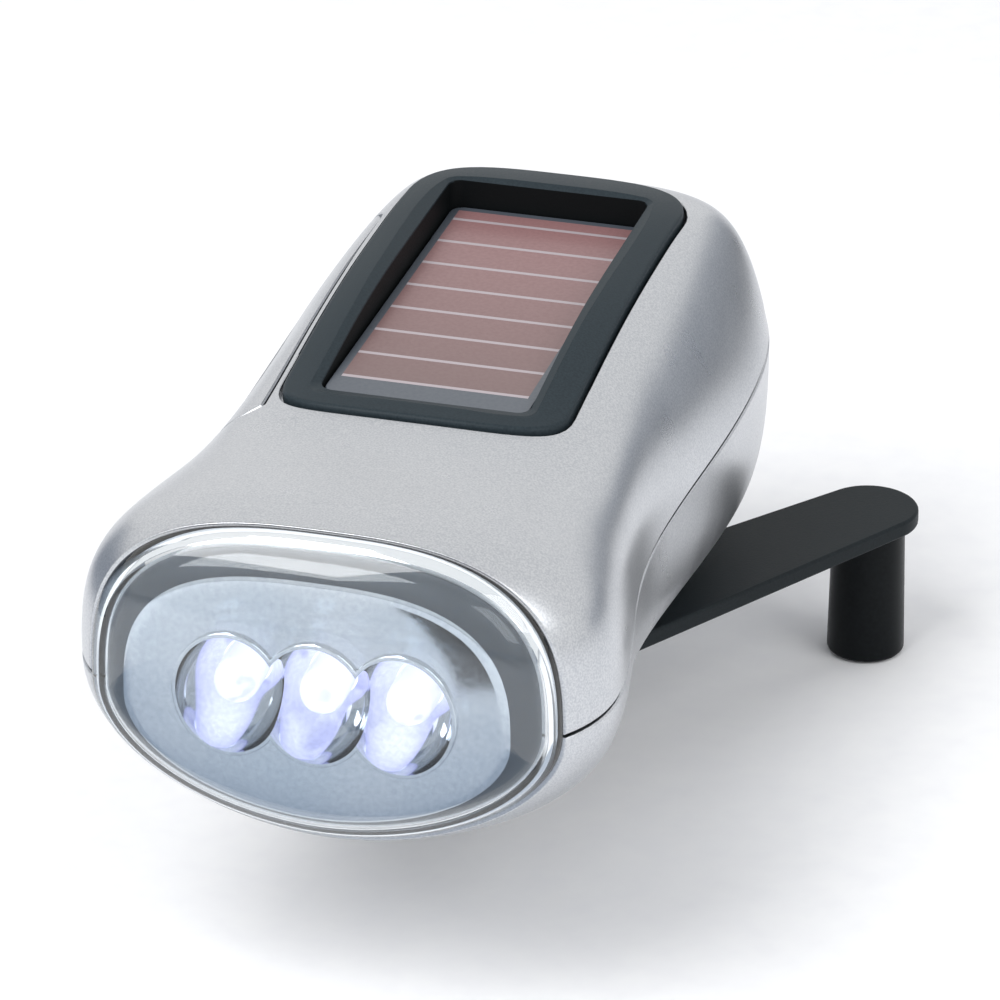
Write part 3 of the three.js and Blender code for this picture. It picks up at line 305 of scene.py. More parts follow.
def add_node(tree, kind, inputs=None, **settings):
    """Adds a node, sets its properties, and gives each named input a value or a link."""
    made = tree.nodes.new(kind)
    for name, value in settings.items():
        setattr(made, name, value)
    for socket, value in (inputs or {}).items():
        if isinstance(value, bpy.types.NodeSocket):
            tree.links.new(value, made.inputs[socket])
        else:
            made.inputs[socket].default_value = value
    return made


def new_finish(name, **surface):
    """A material and its tree and shader; surface gives the shader's plain values."""
    material = bpy.data.materials.new(name)
    material.use_nodes = True
    tree = material.node_tree
    shader = tree.nodes["Principled BSDF"]
    for socket, value in surface.items():
        shader.inputs[socket.replace("_", " ")].default_value = value
    return material, tree, shader


def grain(tree, grain_mm, detail=2.0, roughness=0.5):
    """Noise whose lumps are about grain_mm across."""
    points = add_node(tree, "ShaderNodeTexCoord").outputs["Object"]
    inputs = {"Vector": points, "Scale": 1 / (grain_mm * MM), "Detail": detail, "Roughness": roughness}
    return add_node(tree, "ShaderNodeTexNoise", inputs).outputs["Fac"]


def remap(tree, value, low, high, from_low=0.3, from_high=0.7):
    """A value stretched to run from low to high; noise mostly lies between 0.3 and 0.7."""
    inputs = {"Value": value, "From Min": from_low, "From Max": from_high, "To Min": low, "To Max": high}
    return add_node(tree, "ShaderNodeMapRange", inputs).outputs["Result"]


def paint_with(tree, shader, shade):
    tree.links.new(shade, shader.inputs["Base Color"])


def roughen(tree, shader, height, depth_mm):
    """Raises the surface by a pattern, without changing its shape."""
    bump = add_node(tree, "ShaderNodeBump", {"Height": height, "Distance": depth_mm * MM})
    tree.links.new(bump.outputs["Normal"], shader.inputs["Normal"])


def mix_colours(tree, factor, first, second):
    # a colour mix keeps its factor in input 0, its colours in 6 and 7, and its result in output 2
    return add_node(tree, "ShaderNodeMix", {0: factor, 6: first, 7: second}, data_type="RGBA").outputs[2]


def speckle(tree, shader, pale, deep, grain_mm, rough=None, depth_mm=0.0):
    """Two close colours in a grain, with the same grain in roughness and height."""
    fine = grain(tree, grain_mm)
    paint_with(tree, shader, mix_colours(tree, remap(tree, fine, 0, 1), deep, pale))
    if rough:
        tree.links.new(remap(tree, fine, *rough), shader.inputs["Roughness"])
    if depth_mm:
        roughen(tree, shader, fine, depth_mm)


# ---------------------------------------------------------------- finishes


def silver_painted_abs(looks):
    """Metallic lacquer on moulded ABS: aluminium flakes under a satin coat give a pale, fine grain."""
    name = "silver_painted_abs"
    if name in bpy.data.materials:
        return bpy.data.materials[name]
    material, tree, shader = new_finish(name, Metallic=1.0, Coat_Weight=0.1, Coat_Roughness=0.25)
    # real flakes are about 0.03 mm; drawn at 0.22 mm so that they show
    flakes = grain(tree, 0.22, detail=1.0)
    shade = mix_colours(tree, remap(tree, flakes, 0, 1, 0.35, 0.65), looks.silver_shade, looks.silver)
    paint_with(tree, shader, shade)
    # slow drift of the gloss, as sprayed paint has
    tree.links.new(remap(tree, grain(tree, 9.0), 0.27, 0.31), shader.inputs["Roughness"])
    roughen(tree, shader, flakes, 0.005)
    return material


def textured_abs(name, pale, deep, rough, grain_mm=0.25, depth_mm=0.01):
    """ABS moulded in a spark eroded tool: a fine even texture that spreads and dims its gloss."""
    material, tree, shader = new_finish(name, IOR=1.53, Specular_IOR_Level=0.1)
    speckle(tree, shader, pale, deep, grain_mm, rough, depth_mm)
    return material


def clear_polycarbonate(looks):
    """Polished clear polycarbonate: glassy, with faint flow lines from moulding."""
    surface = {"IOR": 1.585, "Roughness": 0.02, "Transmission_Weight": 1.0}
    material, tree, shader = new_finish("clear_polycarbonate", **surface)
    tint = mix_colours(tree, remap(tree, grain(tree, 20.0), 0, 0.4), looks.cover, linear("#ffffff"))
    paint_with(tree, shader, tint)
    roughen(tree, shader, grain(tree, 16.0), 0.02)
    return material


def metallised_abs(looks):
    """Aluminium film on a moulded tray: bright, with the soft haze of the moulding under it."""
    material, tree, shader = new_finish("metallised_abs", Metallic=1.0)
    speckle(tree, shader, looks.mirror, linear("#d0d4da"), 0.6, (0.05, 0.09), 0.0005)
    return material


def side_shade_abs(looks):
    """Dull blue grey on the side of the reflector under the clear cover, as painted shade for the dark band there."""
    material, tree, shader = new_finish("painted_shade_grey_abs", IOR=1.53)
    speckle(tree, shader, looks.tray_side_shade, linear("#4d555d"), 0.5, (0.4, 0.5), 0.004)
    return material


def lit_epoxy(looks):
    """Clear epoxy of a lit LED: the glow fills the dome and turns violet in streaks and at its rim."""
    material, tree, shader = new_finish("lit_epoxy", IOR=1.54, Roughness=0.08)
    facing = add_node(tree, "ShaderNodeLayerWeight", {"Blend": 0.5}).outputs["Facing"]
    streaks = remap(tree, grain(tree, 2.2, 1.0), 0, 0.75, 0.5, 0.66)
    cool = add_node(tree, "ShaderNodeMath", {0: facing, 1: streaks}, operation="MAXIMUM").outputs[0]
    shade = mix_colours(tree, cool, linear("#ffffff"), looks.glow_edge)
    tree.links.new(shade, shader.inputs["Emission Color"])
    shader.inputs["Emission Strength"].default_value = looks.glow
    paint_with(tree, shader, mix_colours(tree, grain(tree, 0.8), linear("#f2f4ff"), linear("#dfe4f5")))
    return material


def amorphous_silicon(looks, solar):
    """Thin film solar cell under epoxy: dusky rose strips parted by laser scribed contact lines."""
    surface = {"IOR": 1.55, "Specular_IOR_Level": 0.35, "Coat_Weight": 0.15, "Coat_Roughness": 0.15}
    material, tree, shader = new_finish("amorphous_silicon", **surface)
    points = add_node(tree, "ShaderNodeTexCoord").outputs["Object"]
    parts = add_node(tree, "ShaderNodeSeparateXYZ", {"Vector": points})
    x, y = parts.outputs["X"], parts.outputs["Y"]
    first_line, rear = solar.first_line_y - REST, solar.cell_rear_y - REST

    def maths(operation, first, second=0.0):
        return add_node(tree, "ShaderNodeMath", {0: first, 1: second}, operation=operation).outputs[0]

    # distance to the nearest line: a triangle wave with the lines' pitch
    near = maths("PINGPONG", maths("SUBTRACT", y, first_line), solar.line_pitch / 2)
    line = maths("LESS_THAN", near, solar.line_width / 2)
    behind_front = maths("GREATER_THAN", y, solar.first_line_y - solar.line_width / 2 - REST)
    before_rear = maths("LESS_THAN", y, rear)
    between_sides = maths("LESS_THAN", maths("ABSOLUTE", x), solar.cell_half_width)
    active = maths("MULTIPLY", maths("MULTIPLY", behind_front, before_rear), between_sides)
    drift = remap(tree, y, 0, 1, first_line, rear)
    strip = mix_colours(tree, drift, looks.cell, looks.cell_rear)
    fine = grain(tree, 0.5)
    strip = mix_colours(tree, remap(tree, fine, 0, 0.2), strip, linear("#6c5657"))
    shade = mix_colours(tree, line, strip, looks.cell_line)
    paint_with(tree, shader, mix_colours(tree, active, looks.cell_border, shade))
    tree.links.new(remap(tree, fine, 0.3, 0.42), shader.inputs["Roughness"])
    roughen(tree, shader, line, 0.03)
    return material


def bare_metal(name, pale, deep, rough, grain_mm=0.4):
    """Plated or rolled metal: bright, with marks too fine to count drawn as a soft grain."""
    material, tree, shader = new_finish(name, Metallic=1.0)
    speckle(tree, shader, linear(pale), linear(deep), grain_mm, rough, 0.003)
    return material


def plated_steel():
    """Zinc plated steel of the screws, pins and axles: a cool, even shine."""
    name = "plated_steel"
    return bpy.data.materials.get(name) or bare_metal(name, "#b9bdc2", "#9a9fa6", (0.24, 0.34), 0.3)


def moulded_plastic(name, pale, deep, rough, grain_mm=0.5):
    """Plain moulded plastic inside the case: a faint cloudiness and a soft sheen."""
    material, tree, shader = new_finish(name, IOR=1.5)
    speckle(tree, shader, linear(pale), linear(deep), grain_mm, rough, 0.006)
    return material


def studio_felt(name, pale, deep):
    """Felt of a studio card: it has no gloss, so what the object mirrors is an even tone."""
    material, tree, shader = new_finish(name, Roughness=1.0, Specular_IOR_Level=0.0)
    speckle(tree, shader, linear(pale), linear(deep), 3.0)
    return material


def graded_paper(pale_y, deep_y):
    """Sprayed studio paper: white at one end and blue grey at the other, which fades what a mirror shows."""
    material, tree, shader = new_finish("graded_paper", Roughness=1.0, Specular_IOR_Level=0.0)
    points = add_node(tree, "ShaderNodeTexCoord").outputs["Object"]
    along_card = add_node(tree, "ShaderNodeSeparateXYZ", {"Vector": points}).outputs["Y"]
    fade = remap(tree, along_card, 0, 1, pale_y, deep_y)
    paint_with(tree, shader, mix_colours(tree, fade, linear("#ffffff"), linear("#a9b1bc")))
    return material


# ---------------------------------------------------------------- case form


# Powers of the curves that close the form in plan at the nose and at the rear, and of its height at the rear
NOSE_POWER = 2.59
REAR_POWER = 2.53
REAR_HEIGHT_POWER = 0.83
# Power of the section above the seam at the nose tip, and its growth over the case's length
UPPER_POWER = 2.8
UPPER_POWER_GROWTH = 0.85
# Widths and crowns are averaged over places this far apart, so that no bend shows
EASE_STEP = 3 * MM
EASE_PLACES = range(-3, 4)
# The shoulder is a sloping limit that meets the superellipse in a soft bend
SHOULDER_SLOPE = math.radians(29.4)
SHOULDER_BEND = 14
BOW_LENGTH = 10 * MM
# How far the rings of the form crowd towards its ends
RING_CROWDING = 0.65
# Distance at which the form's slope is felt
PROBE = 2e-5


def smooth_share(value, low, high):
    """0 below low, 1 above high, and a smooth rise between them."""
    t = min(max((value - low) / (high - low), 0.0), 1.0)
    return t * t * (3 - 2 * t)


def along(value, stations):
    """A value that runs smoothly from station to station."""
    total = stations[0][1]
    for (start, low), (end, high) in zip(stations, stations[1:]):
        total += (high - low) * smooth_share(value, start, end)
    return total


def eased(value, stations):
    """The same, averaged over a short stretch."""
    return sum(along(value + k * EASE_STEP, stations) for k in EASE_PLACES) / len(EASE_PLACES)


def end_share(distance, round_length, power):
    """How wide a rounded end is at a distance from its tip; 1 is full width."""
    if distance < MERGE / 10:
        return 0.0
    inside = min(max(1 - distance / round_length, 0.0), 1.0)
    return (1 - inside**power) ** (1 / power)


def shoulder_level(x, rise, limit):
    """How far out a point of a section lies towards its shoulder; 1 is on the limit."""
    return (abs(x) * math.cos(SHOULDER_SLOPE) + max(rise, 0.0) * math.sin(SHOULDER_SLOPE)) / limit


def blended(level, other):
    """The larger of two levels, rounded off where they are close."""
    return (level**SHOULDER_BEND + other**SHOULDER_BEND) ** (1 / SHOULDER_BEND)


def last_inside(outside, low, high, rounds):
    """Halves the stretch from a place inside to one outside until it ends at the skin."""
    for _ in range(rounds):
        half = (low + high) / 2
        low, high = (low, half) if outside(half) else (half, high)
    return low


def circle_turns(count):
    """The angles of a full circle in even steps."""
    return [2 * math.pi * i / count for i in range(count)]


class CaseForm:
    """The case's outer form: a superellipse with sloping shoulders at each distance behind the nose tip."""

    def __init__(self, s):
        self.length = s.body_length
        self.widths = [(s.nose_wide_y, s.nose_half_width), (s.waist_y, s.waist_half_width)]
        self.widths.append((s.rear_wide_y, s.rear_half_width))
        self.crowns = [(s.nose_crown_y, s.nose_crown_z), (s.neck_crown_y, s.neck_crown_z)]
        self.crowns.append((s.rear_crown_y, s.rear_crown_z))
        self.seam_front, self.seam_rise, self.drop = s.seam_front_z, s.seam_rise, s.belly_drop
        self.rounds = (s.nose_round, s.rear_round, s.nose_top_round)
        self.shoulder_y, self.shoulder_reach = s.shoulder_y, s.shoulder_reach
        self.shoulder_bows = (s.shoulder_front_bow, s.shoulder_rear_bow)
        self.chin = [(0, s.chin_power), (s.chin_y, s.grip_low_power)]

    def seam(self, y):
        return self.seam_front + self.seam_rise * y

    def crown(self, y):
        return eased(y, self.crowns)

    def section(self, y, inset=0.0):
        """Half width, seam height, reach up and down, powers of the curve, and the shoulder's limit."""
        nose, tail, top = self.rounds
        front = end_share(y - inset, nose, NOSE_POWER)
        rear = end_share(self.length - inset - y, tail, REAR_POWER)
        middle = self.seam(y)
        height = rear**REAR_HEIGHT_POWER
        share = y / self.length
        half = (eased(y, self.widths) - inset) * front * rear
        up = (self.crown(y) - inset - middle) * height * end_share(y - inset, top, NOSE_POWER)
        down = (middle + self.drop - inset) * height * front
        ahead = (y - self.shoulder_y) / BOW_LENGTH
        limit = self.shoulder_reach + self.shoulder_bows[ahead > 0] * ahead**2 - inset
        upper = UPPER_POWER + UPPER_POWER_GROWTH * share
        return half, middle, up, down, upper, along(y, self.chin), max(limit, MM)

    def value(self, point, inset=0.0):
        """Below zero inside the form, zero on its skin."""
        half, middle, up, down, upper, lower, limit = self.section(point.y + REST, inset)
        reach, power = (up, upper) if point.z >= middle else (down, lower)
        if min(half, reach) <= MERGE:
            return 1.0
        level = ((abs(point.x) / half) ** power + (abs(point.z - middle) / reach) ** power) ** (1 / power)
        return blended(level, shoulder_level(point.x, point.z - middle, limit)) - 1

    def normal(self, point, inset=0.0):
        """Which way the skin faces at a point."""
        slope = []
        for k in range(3):
            step = Vector((0, 0, 0))
            step[k] = PROBE
            slope.append(self.value(point + step, inset) - self.value(point - step, inset))
        return Vector(slope).normalized()

    def top(self, x, y, inset=0.0):
        """Height of the top skin over a point of the plan."""
        middle, up = self.section(y + REST, inset)[1:3]
        return last_inside(lambda z: self.value(Vector((x, y, z)), inset) >= 0, middle, middle + up, 30)

    def belly(self, x, y):
        """Height of the underside over a point of the plan."""
        half, middle, _, down, _, lower, _ = self.section(y + REST)
        return max(middle - down * (1 - min(abs(x) / half, 1.0) ** lower) ** (1 / lower), 0)

    def skin_along(self, start, direction, reach):
        """Where a line that starts inside the form leaves it."""
        way = last_inside(lambda far: self.value(start + direction * far) >= 0, 0.0, reach, 32)
        return start + direction * way

    def body(self, inset, sides, rings):
        """The whole form as a closed mesh, flat underneath."""
        bm = bmesh.new()
        bmesh.ops.create_uvsphere(bm, u_segments=sides, v_segments=rings, radius=1)
        reach = self.length - 2 * inset
        for vert in bm.verts:
            share = math.acos(max(-1.0, min(1.0, vert.co.z))) / math.pi
            crowded = (1 - math.cos(math.pi * share)) / 2
            y = inset + reach * (share + (crowded - share) * RING_CROWDING)
            around = math.atan2(vert.co.y, vert.co.x)
            if min(share, 1 - share) < 1e-5:
                vert.co = (0, y - REST, self.seam(y))
            else:
                vert.co = ring_point(self.section(y, inset), around, y)
        cut = bmesh.ops.bisect_plane(
            bm,
            geom=bm.verts[:] + bm.edges[:] + bm.faces[:],
            plane_co=(0, 0, max(inset, 0)),
            plane_no=(0, 0, -1),
            clear_outer=True,
        )
        bmesh.ops.holes_fill(bm, edges=[e for e in cut["geom_cut"] if isinstance(e, bmesh.types.BMEdge)])
        bmesh.ops.recalc_face_normals(bm, faces=bm.faces)
        return bm

    def seam_outline(self, count):
        """The form's outline on the parting plane."""
        loop = []
        for turn in circle_turns(count):
            y = self.length * (1 - math.cos(turn)) / 2
            half = ring_point(self.section(y), 0, y).x
            loop.append(Vector((math.copysign(half, math.sin(turn)), y - REST, 0)))
        return loop


def ring_point(section, angle, y, scale=1.0):
    """A point of a section of the case."""
    half, middle, up, down, upper, lower, limit = section
    across, above = math.cos(angle), math.sin(angle)
    reach, power = (up, upper) if above >= 0 else (down, lower)
    x = half * math.copysign(abs(across) ** (2 / power), across)
    rise = reach * math.copysign(abs(above) ** (2 / power), above)
    scale /= blended(1.0, shoulder_level(x, rise, limit))
    return Vector((x * scale, y - REST, middle + rise * scale))


def widened(loop, distance, up_axis):
    """A flat loop moved outwards by a distance; up_axis is the axis it turns about."""
    axis = Vector(up_axis)
    moved = []
    for before, point, after in zip(loop[-1:] + loop[:-1], loop, loop[1:] + loop[:1]):
        outward = (after - before).cross(axis).normalized()
        moved.append(point + outward * distance)
    return moved


# ---------------------------------------------------------------- making meshes


def loft(loops, closed=False):
    """Skins a row of loops with as many points each; closed joins the last to the first instead of capping."""
    bm = bmesh.new()
    count = len(loops[0])
    ring = bmesh.ops.create_circle(bm, cap_ends=not closed, segments=count, radius=1)["verts"]
    for vert, point in zip(ring, loops[0]):
        vert.co = point
    first = edges = [bm.edges.get((ring[i], ring[(i + 1) % count])) for i in range(count)]
    for points in loops[1:]:
        made = bmesh.ops.extrude_edge_only(bm, edges=edges)["geom"]
        fresh = {v for v in made if isinstance(v, bmesh.types.BMVert)}
        ring = [next(e.other_vert(v) for e in v.link_edges if e.other_vert(v) in fresh) for v in ring]
        for vert, point in zip(ring, points):
            vert.co = point
        edges = [bm.edges.get((ring[i], ring[(i + 1) % count])) for i in range(count)]
    if closed:
        bmesh.ops.bridge_loops(bm, edges=list(first) + edges)
    else:
        bmesh.ops.holes_fill(bm, edges=edges)
    cleaned(bm, LOFT_MERGE)
    return bm


def cleaned(bm, distance=MERGE):
    """Merges doubles, drops what has no area, and turns the faces outwards."""
    bmesh.ops.remove_doubles(bm, verts=bm.verts, dist=distance)
    bmesh.ops.dissolve_degenerate(bm, edges=bm.edges, dist=MERGE)
    bmesh.ops.recalc_face_normals(bm, faces=bm.faces)


# A rounding takes at most this share of each of the two sides that it joins
ROUNDING_SHARE = 0.45


def rounded(points, radius, steps=3):
    """An open profile with its inner corners rounded."""
    made = [Vector(points[0])]
    for before, corner, after in zip(points, points[1:], points[2:]):
        a, b, c = Vector(before), Vector(corner), Vector(after)
        reach = min(radius, (a - b).length * ROUNDING_SHARE, (c - b).length * ROUNDING_SHARE)
        start, end = b + (a - b).normalized() * reach, b + (c - b).normalized() * reach
        for k in range(steps + 1):
            t = k / steps
            made.append(start * (1 - t) ** 2 + b * 2 * t * (1 - t) + end * t * t)
    return made + [Vector(points[-1])]


def turned(profile, segments=64, centre=(0, 0, 0), axis=(0, 0, 1)):
    """A profile of (radius, height) spun about an axis through centre."""
    bm = bmesh.new()
    verts = [bm.verts.new((r, 0, h)) for r, h in profile]
    edges = [bm.edges.new(pair) for pair in zip(verts, verts[1:])]
    bmesh.ops.spin(bm, geom=verts + edges, axis=(0, 0, 1), angle=2 * math.pi, steps=segments, use_merge=True)
    bmesh.ops.remove_doubles(bm, verts=bm.verts, dist=MERGE)
    turn = Vector((0, 0, 1)).rotation_difference(Vector(axis)).to_matrix().to_4x4()
    bmesh.ops.transform(bm, matrix=Matrix.Translation(centre) @ turn, verts=bm.verts)
    bmesh.ops.recalc_face_normals(bm, faces=bm.faces)
    return bm


def slab(outline, low, high, edge, place=lambda x, y, h: (x, y, h), steps=3):
    """A plate between two heights with rounded rims; outline(inset) gives its loop."""
    levels = []
    for k in range(steps + 1):
        turn = math.pi / 2 * k / steps
        levels.append((edge * (1 - math.sin(turn)), edge * (1 - math.cos(turn))))
    rows = [(inset, low + rise) for inset, rise in levels]
    rows += [(inset, high - rise) for inset, rise in reversed(levels)]
    return loft([[Vector(place(x, y, h)) for x, y in outline(inset)] for inset, h in rows])


def on_edge(x, z, h):
    """Stands a slab on edge: its outline lies in the plane of x and z."""
    return x, h, z


def rod(radius, low, high, segments=32, centre=(0, 0, 0), axis=(0, 0, 1)):
    """A plain round rod between two heights, as a cutter or a part of a larger piece."""
    return turned([(0, low), (radius, low), (radius, high), (0, high)], segments, centre, axis)


def upright_rod(x, y, radius, low, high, segments=32):
    """A rod over a point of the plan that is counted from the nose tip."""
    return rod(radius, low, high, segments, (x, y - REST, 0))


def hole_tool(form, x, y, radius, depth, brk, segments=64):
    """A cutter for a round hole from below, with a bevel that follows the underside."""
    rows = []
    for reach, drop in ((radius, -brk), (radius + brk + OVERRUN, OVERRUN)):
        loop = []
        for turn in circle_turns(segments):
            px, py = x + reach * math.cos(turn), y - REST + reach * math.sin(turn)
            sx, sy = x + radius * math.cos(turn), y - REST + radius * math.sin(turn)
            loop.append(Vector((px, py, form.belly(sx, sy) - drop)))
        rows.append(loop)
    return loft([at_height(rows[0], depth), *rows, at_height(rows[-1], BELOW)])


def at_height(loop, z):
    return [Vector((p.x, p.y, z)) for p in loop]


def prism_tool(outline, low, high):
    """Everything within an outline of the plan between two heights."""
    return loft([[Vector((x, y - REST, z)) for x, y in outline] for z in (low, high)])


def box_tool(low, high):
    """A block between two corners."""
    bm = bmesh.new()
    bmesh.ops.create_cube(bm, size=1)
    low, high = Vector(low), Vector(high)
    bmesh.ops.scale(bm, vec=high - low, verts=bm.verts)
    bmesh.ops.translate(bm, vec=(low + high) / 2, verts=bm.verts)
    return bm


def as_object(bm, name):
    """Puts a bmesh into the scene and frees it."""
    mesh = bpy.data.meshes.new(name)
    bm.to_mesh(mesh)
    bm.free()
    made = bpy.data.objects.new(name, mesh)
    bpy.context.scene.collection.objects.link(made)
    return made


def carve(base, tools, operation="DIFFERENCE"):
    """Cuts a bmesh by others, or joins or trims it, and returns the result."""
    target = as_object(base, "carve_base")
    cutters = [as_object(tool, "carve_tool") for tool in tools]
    for cutter in cutters:
        step = target.modifiers.new("carve", "BOOLEAN")
        step.operation, step.solver, step.object = operation, "EXACT", cutter
    shaped = target.evaluated_get(bpy.context.evaluated_depsgraph_get())
    bm = bmesh.new()
    bm.from_mesh(shaped.to_mesh())
    shaped.to_mesh_clear()
    for spent in [target, *cutters]:
        mesh = spent.data
        bpy.data.objects.remove(spent)
        bpy.data.meshes.remove(mesh)
    if not bm.faces:
        raise RuntimeError("a cut left nothing")
    return bm


def finished(bm, name, body, nodes, material, form=None, place=None, smooth_deg=35):
    """Turns a bmesh into a finished piece on its body, in place of its CAD nodes."""
    if place:
        bmesh.ops.transform(bm, matrix=place, verts=bm.verts)
    cleaned(bm)
    made = as_object(bm, name)
    mesh = made.data
    mesh.shade_smooth()
    mesh.set_sharp_from_angle(angle=math.radians(smooth_deg))
    mesh.materials.append(material)
    if form:
        shade_as_form(mesh, form)
    else:
        even = made.modifiers.new("even normals", "WEIGHTED_NORMAL")
        even.keep_sharp = True
    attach(made, body)
    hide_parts(*nodes)
    return made


# A point this near the form's skin, by its level, belongs to it
SKIN_BAND = 1.5e-3
# Faces turned less than this from the skin are skin; faces turned between the next two are its edge bevels
SKIN_FACING = 0.8
BEVEL_FACING = (0.35, 0.95)


def shade_as_form(mesh, form):
    """Gives the outer skin the form's own normals, and rounds the narrow bevels beside it."""
    normals = [corner.vector.copy() for corner in mesh.corner_normals]
    skin = {}
    for vert in mesh.vertices:
        if abs(form.value(vert.co)) < SKIN_BAND:
            skin[vert.index] = form.normal(vert.co)
    for face in mesh.polygons:
        touching = [i for i in face.vertices if i in skin]
        if not touching:
            continue
        facing = face.normal.dot(skin[touching[0]])
        whole = len(touching) == len(face.vertices)
        for loop in face.loop_indices:
            outward = skin.get(mesh.loops[loop].vertex_index)
            if whole and facing > SKIN_FACING:
                normals[loop] = outward
            elif not whole and BEVEL_FACING[0] < facing < BEVEL_FACING[1]:
                inner = (face.normal * (2 * facing) - skin[touching[0]]).normalized()
                normals[loop] = outward or inner
    mesh.normals_split_custom_set([tuple(n) for n in normals])


# ---------------------------------------------------------------- outlines


def corner_rectangle(x0, x1, y0, y1, corner, per_corner=6, per_side=(1, 1)):
    """A rounded rectangle as a loop, with per_side points along the sides across and along."""
    loop = []
    corners = [(x1 - corner, y0 + corner, -90), (x1 - corner, y1 - corner, 0)]
    corners += [(x0 + corner, y1 - corner, 90), (x0 + corner, y0 + corner, 180)]
    for n, (cx, cy, start) in enumerate(corners):
        for k in range(per_corner + 1):
            turn = math.radians(start + 90 * k / per_corner)
            loop.append((cx + corner * math.cos(turn), cy + corner * math.sin(turn)))
        ax, ay = loop[-1]
        nx, ny, nstart = corners[(n + 1) % 4]
        turn = math.radians(nstart)
        bx, by = nx + corner * math.cos(turn), ny + corner * math.sin(turn)
        extra = per_side[(n + 1) % 2]
        for k in range(1, extra):
            loop.append((ax + (bx - ax) * k / extra, ay + (by - ay) * k / extra))
    return loop


def mirrored_loop(front, rear):
    """A loop symmetric across x, from the quarters that run from the middle of each end to the side."""
    front_left, rear_left = ([(-x, y) for x, y in points] for points in (front, rear))
    return front[:-1] + rear[:0:-1] + rear_left[:-1] + front_left[:0:-1]


# The bowed ends of the bezel start straight over this share of its half width
BOW_START_SHARE = 0.55
# Places along a bowed end, closer together where it turns into the side
BOW_STOPS = [0.5 * k / 7 for k in range(7)] + [0.5 + 0.3 * k / 6 for k in range(6)] + [0.8, 0.87, 0.94]


def bezel_outline(solar, grow):
    """Outline of the solar bezel in the plan, in metres from the nose tip."""
    side = solar.half_width + grow
    bow = side * BOW_START_SHARE
    middle = (solar.window_front_y + solar.window_rear_y) / 2

    def quarter(end, shoulder):
        points = []
        for t in BOW_STOPS:
            a, b, c, d = (1 - t) ** 3, 3 * t * (1 - t) ** 2, 3 * t * t * (1 - t), t**3
            points.append((b * bow + c * side + d * side, a * end + b * end + c * end + d * shoulder))
        return points + [(side, shoulder + (middle - shoulder) * k / 8) for k in range(9)]

    front = quarter(solar.front_y - grow, solar.front_y + solar.front_corner)
    return mirrored_loop(front, quarter(solar.rear_y + grow, solar.rear_y - solar.rear_corner))


def window_outline(solar, grow):
    """Outline of the solar window, with its points beside those of the bezel's outline."""
    side, corner = solar.window_half_width + grow, solar.window_corner
    middle = (solar.window_front_y + solar.window_rear_y) / 2

    def quarter(end, inward):
        points = [((side - corner) * k / 7, end) for k in range(7)]
        for k in range(6):
            turn = math.pi / 2 * k / 6
            points.append((side - corner * (1 - math.sin(turn)), end + inward * corner * (1 - math.cos(turn))))
        foot = end + inward * corner
        return points + [(side, foot + (middle - foot) * k / 11) for k in range(12)]

    front = quarter(solar.window_front_y - grow, 1)
    return mirrored_loop(front, quarter(solar.window_rear_y + grow, -1))


# The key's outline is thrown onto the skin from this many millimetres inside it, over this many
KEY_START = 8
KEY_REACH = 20
KEY_CORNER_MIN = 0.2 * MM
# Where the cut along the key's upper edge starts and how long it is, in millimetres, and places well
# outside and below the key
KEY_SIDE_START = 35
KEY_SIDE_LENGTH = 65
KEY_SIDE_STEPS = 60
KEY_SIDE_OUTER = -60 * MM
KEY_SIDE_LOW = 10 * MM


def key_point(form, key, y, rise, depth):
    """A point of the key's outline, at a depth under the skin, or on a flat far outside it where depth is None."""
    tilt = math.radians(key.tilt_deg)
    inward = Vector((math.cos(tilt), 0, -math.sin(tilt)))
    upward = Vector((math.sin(tilt), 0, math.cos(tilt)))
    origin = Vector((-key.pivot_x, y - REST, key.pivot_z)) + upward * rise
    if depth is None:
        return origin - inward * KEY_REACH * MM
    return form.skin_along(origin + inward * KEY_START * MM, -inward, KEY_REACH * MM) + inward * depth


def key_loop(form, key, grow, depth):
    """The key's outline, grown outwards, at a depth under the skin."""
    corner = max(key.corner + grow, KEY_CORNER_MIN)
    low, high = -key.height - grow, key.rise + grow
    loop = corner_rectangle(key.front_y - grow, key.rear_y + grow, low, high, corner, 8, (24, 6))
    return [key_point(form, key, y, rise, depth) for y, rise in loop]


def key_side(form, limit, brk, flare):
    """Everything outside the upright plane of the key's upper edge, with a bevel along the skin."""
    loops = []
    for k in range(KEY_SIDE_STEPS + 1):
        y = (KEY_SIDE_START + KEY_SIDE_LENGTH * k / KEY_SIDE_STEPS) * MM - REST
        top = form.top(limit, y)
        rim = limit + flare * (brk + OVERRUN)
        high = HIGH_ABOVE if flare > 0 else top + OVERRUN
        corners = [(limit, KEY_SIDE_LOW), (limit, top - brk), (rim, top + OVERRUN), (rim - 8 * MM, high)]
        corners += [(KEY_SIDE_OUTER, high), (KEY_SIDE_OUTER, KEY_SIDE_LOW)]
        loops.append([Vector((x, y, z)) for x, z in corners])
    return loft(loops)


# ---------------------------------------------------------------- operators


def groups():
    """The sizes and colours, by their short names."""
    return {name.split("_")[1]: getattr(bpy.context.scene, name) for name in GROUPS}


def screw_places(s):
    """Where the four case screws stand in the plan, counted from the nose tip."""
    return [(-s.front_x, s.front_y), (s.front_x, s.front_y), (-s.rear_x, s.rear_y), (s.rear_x, s.rear_y)]


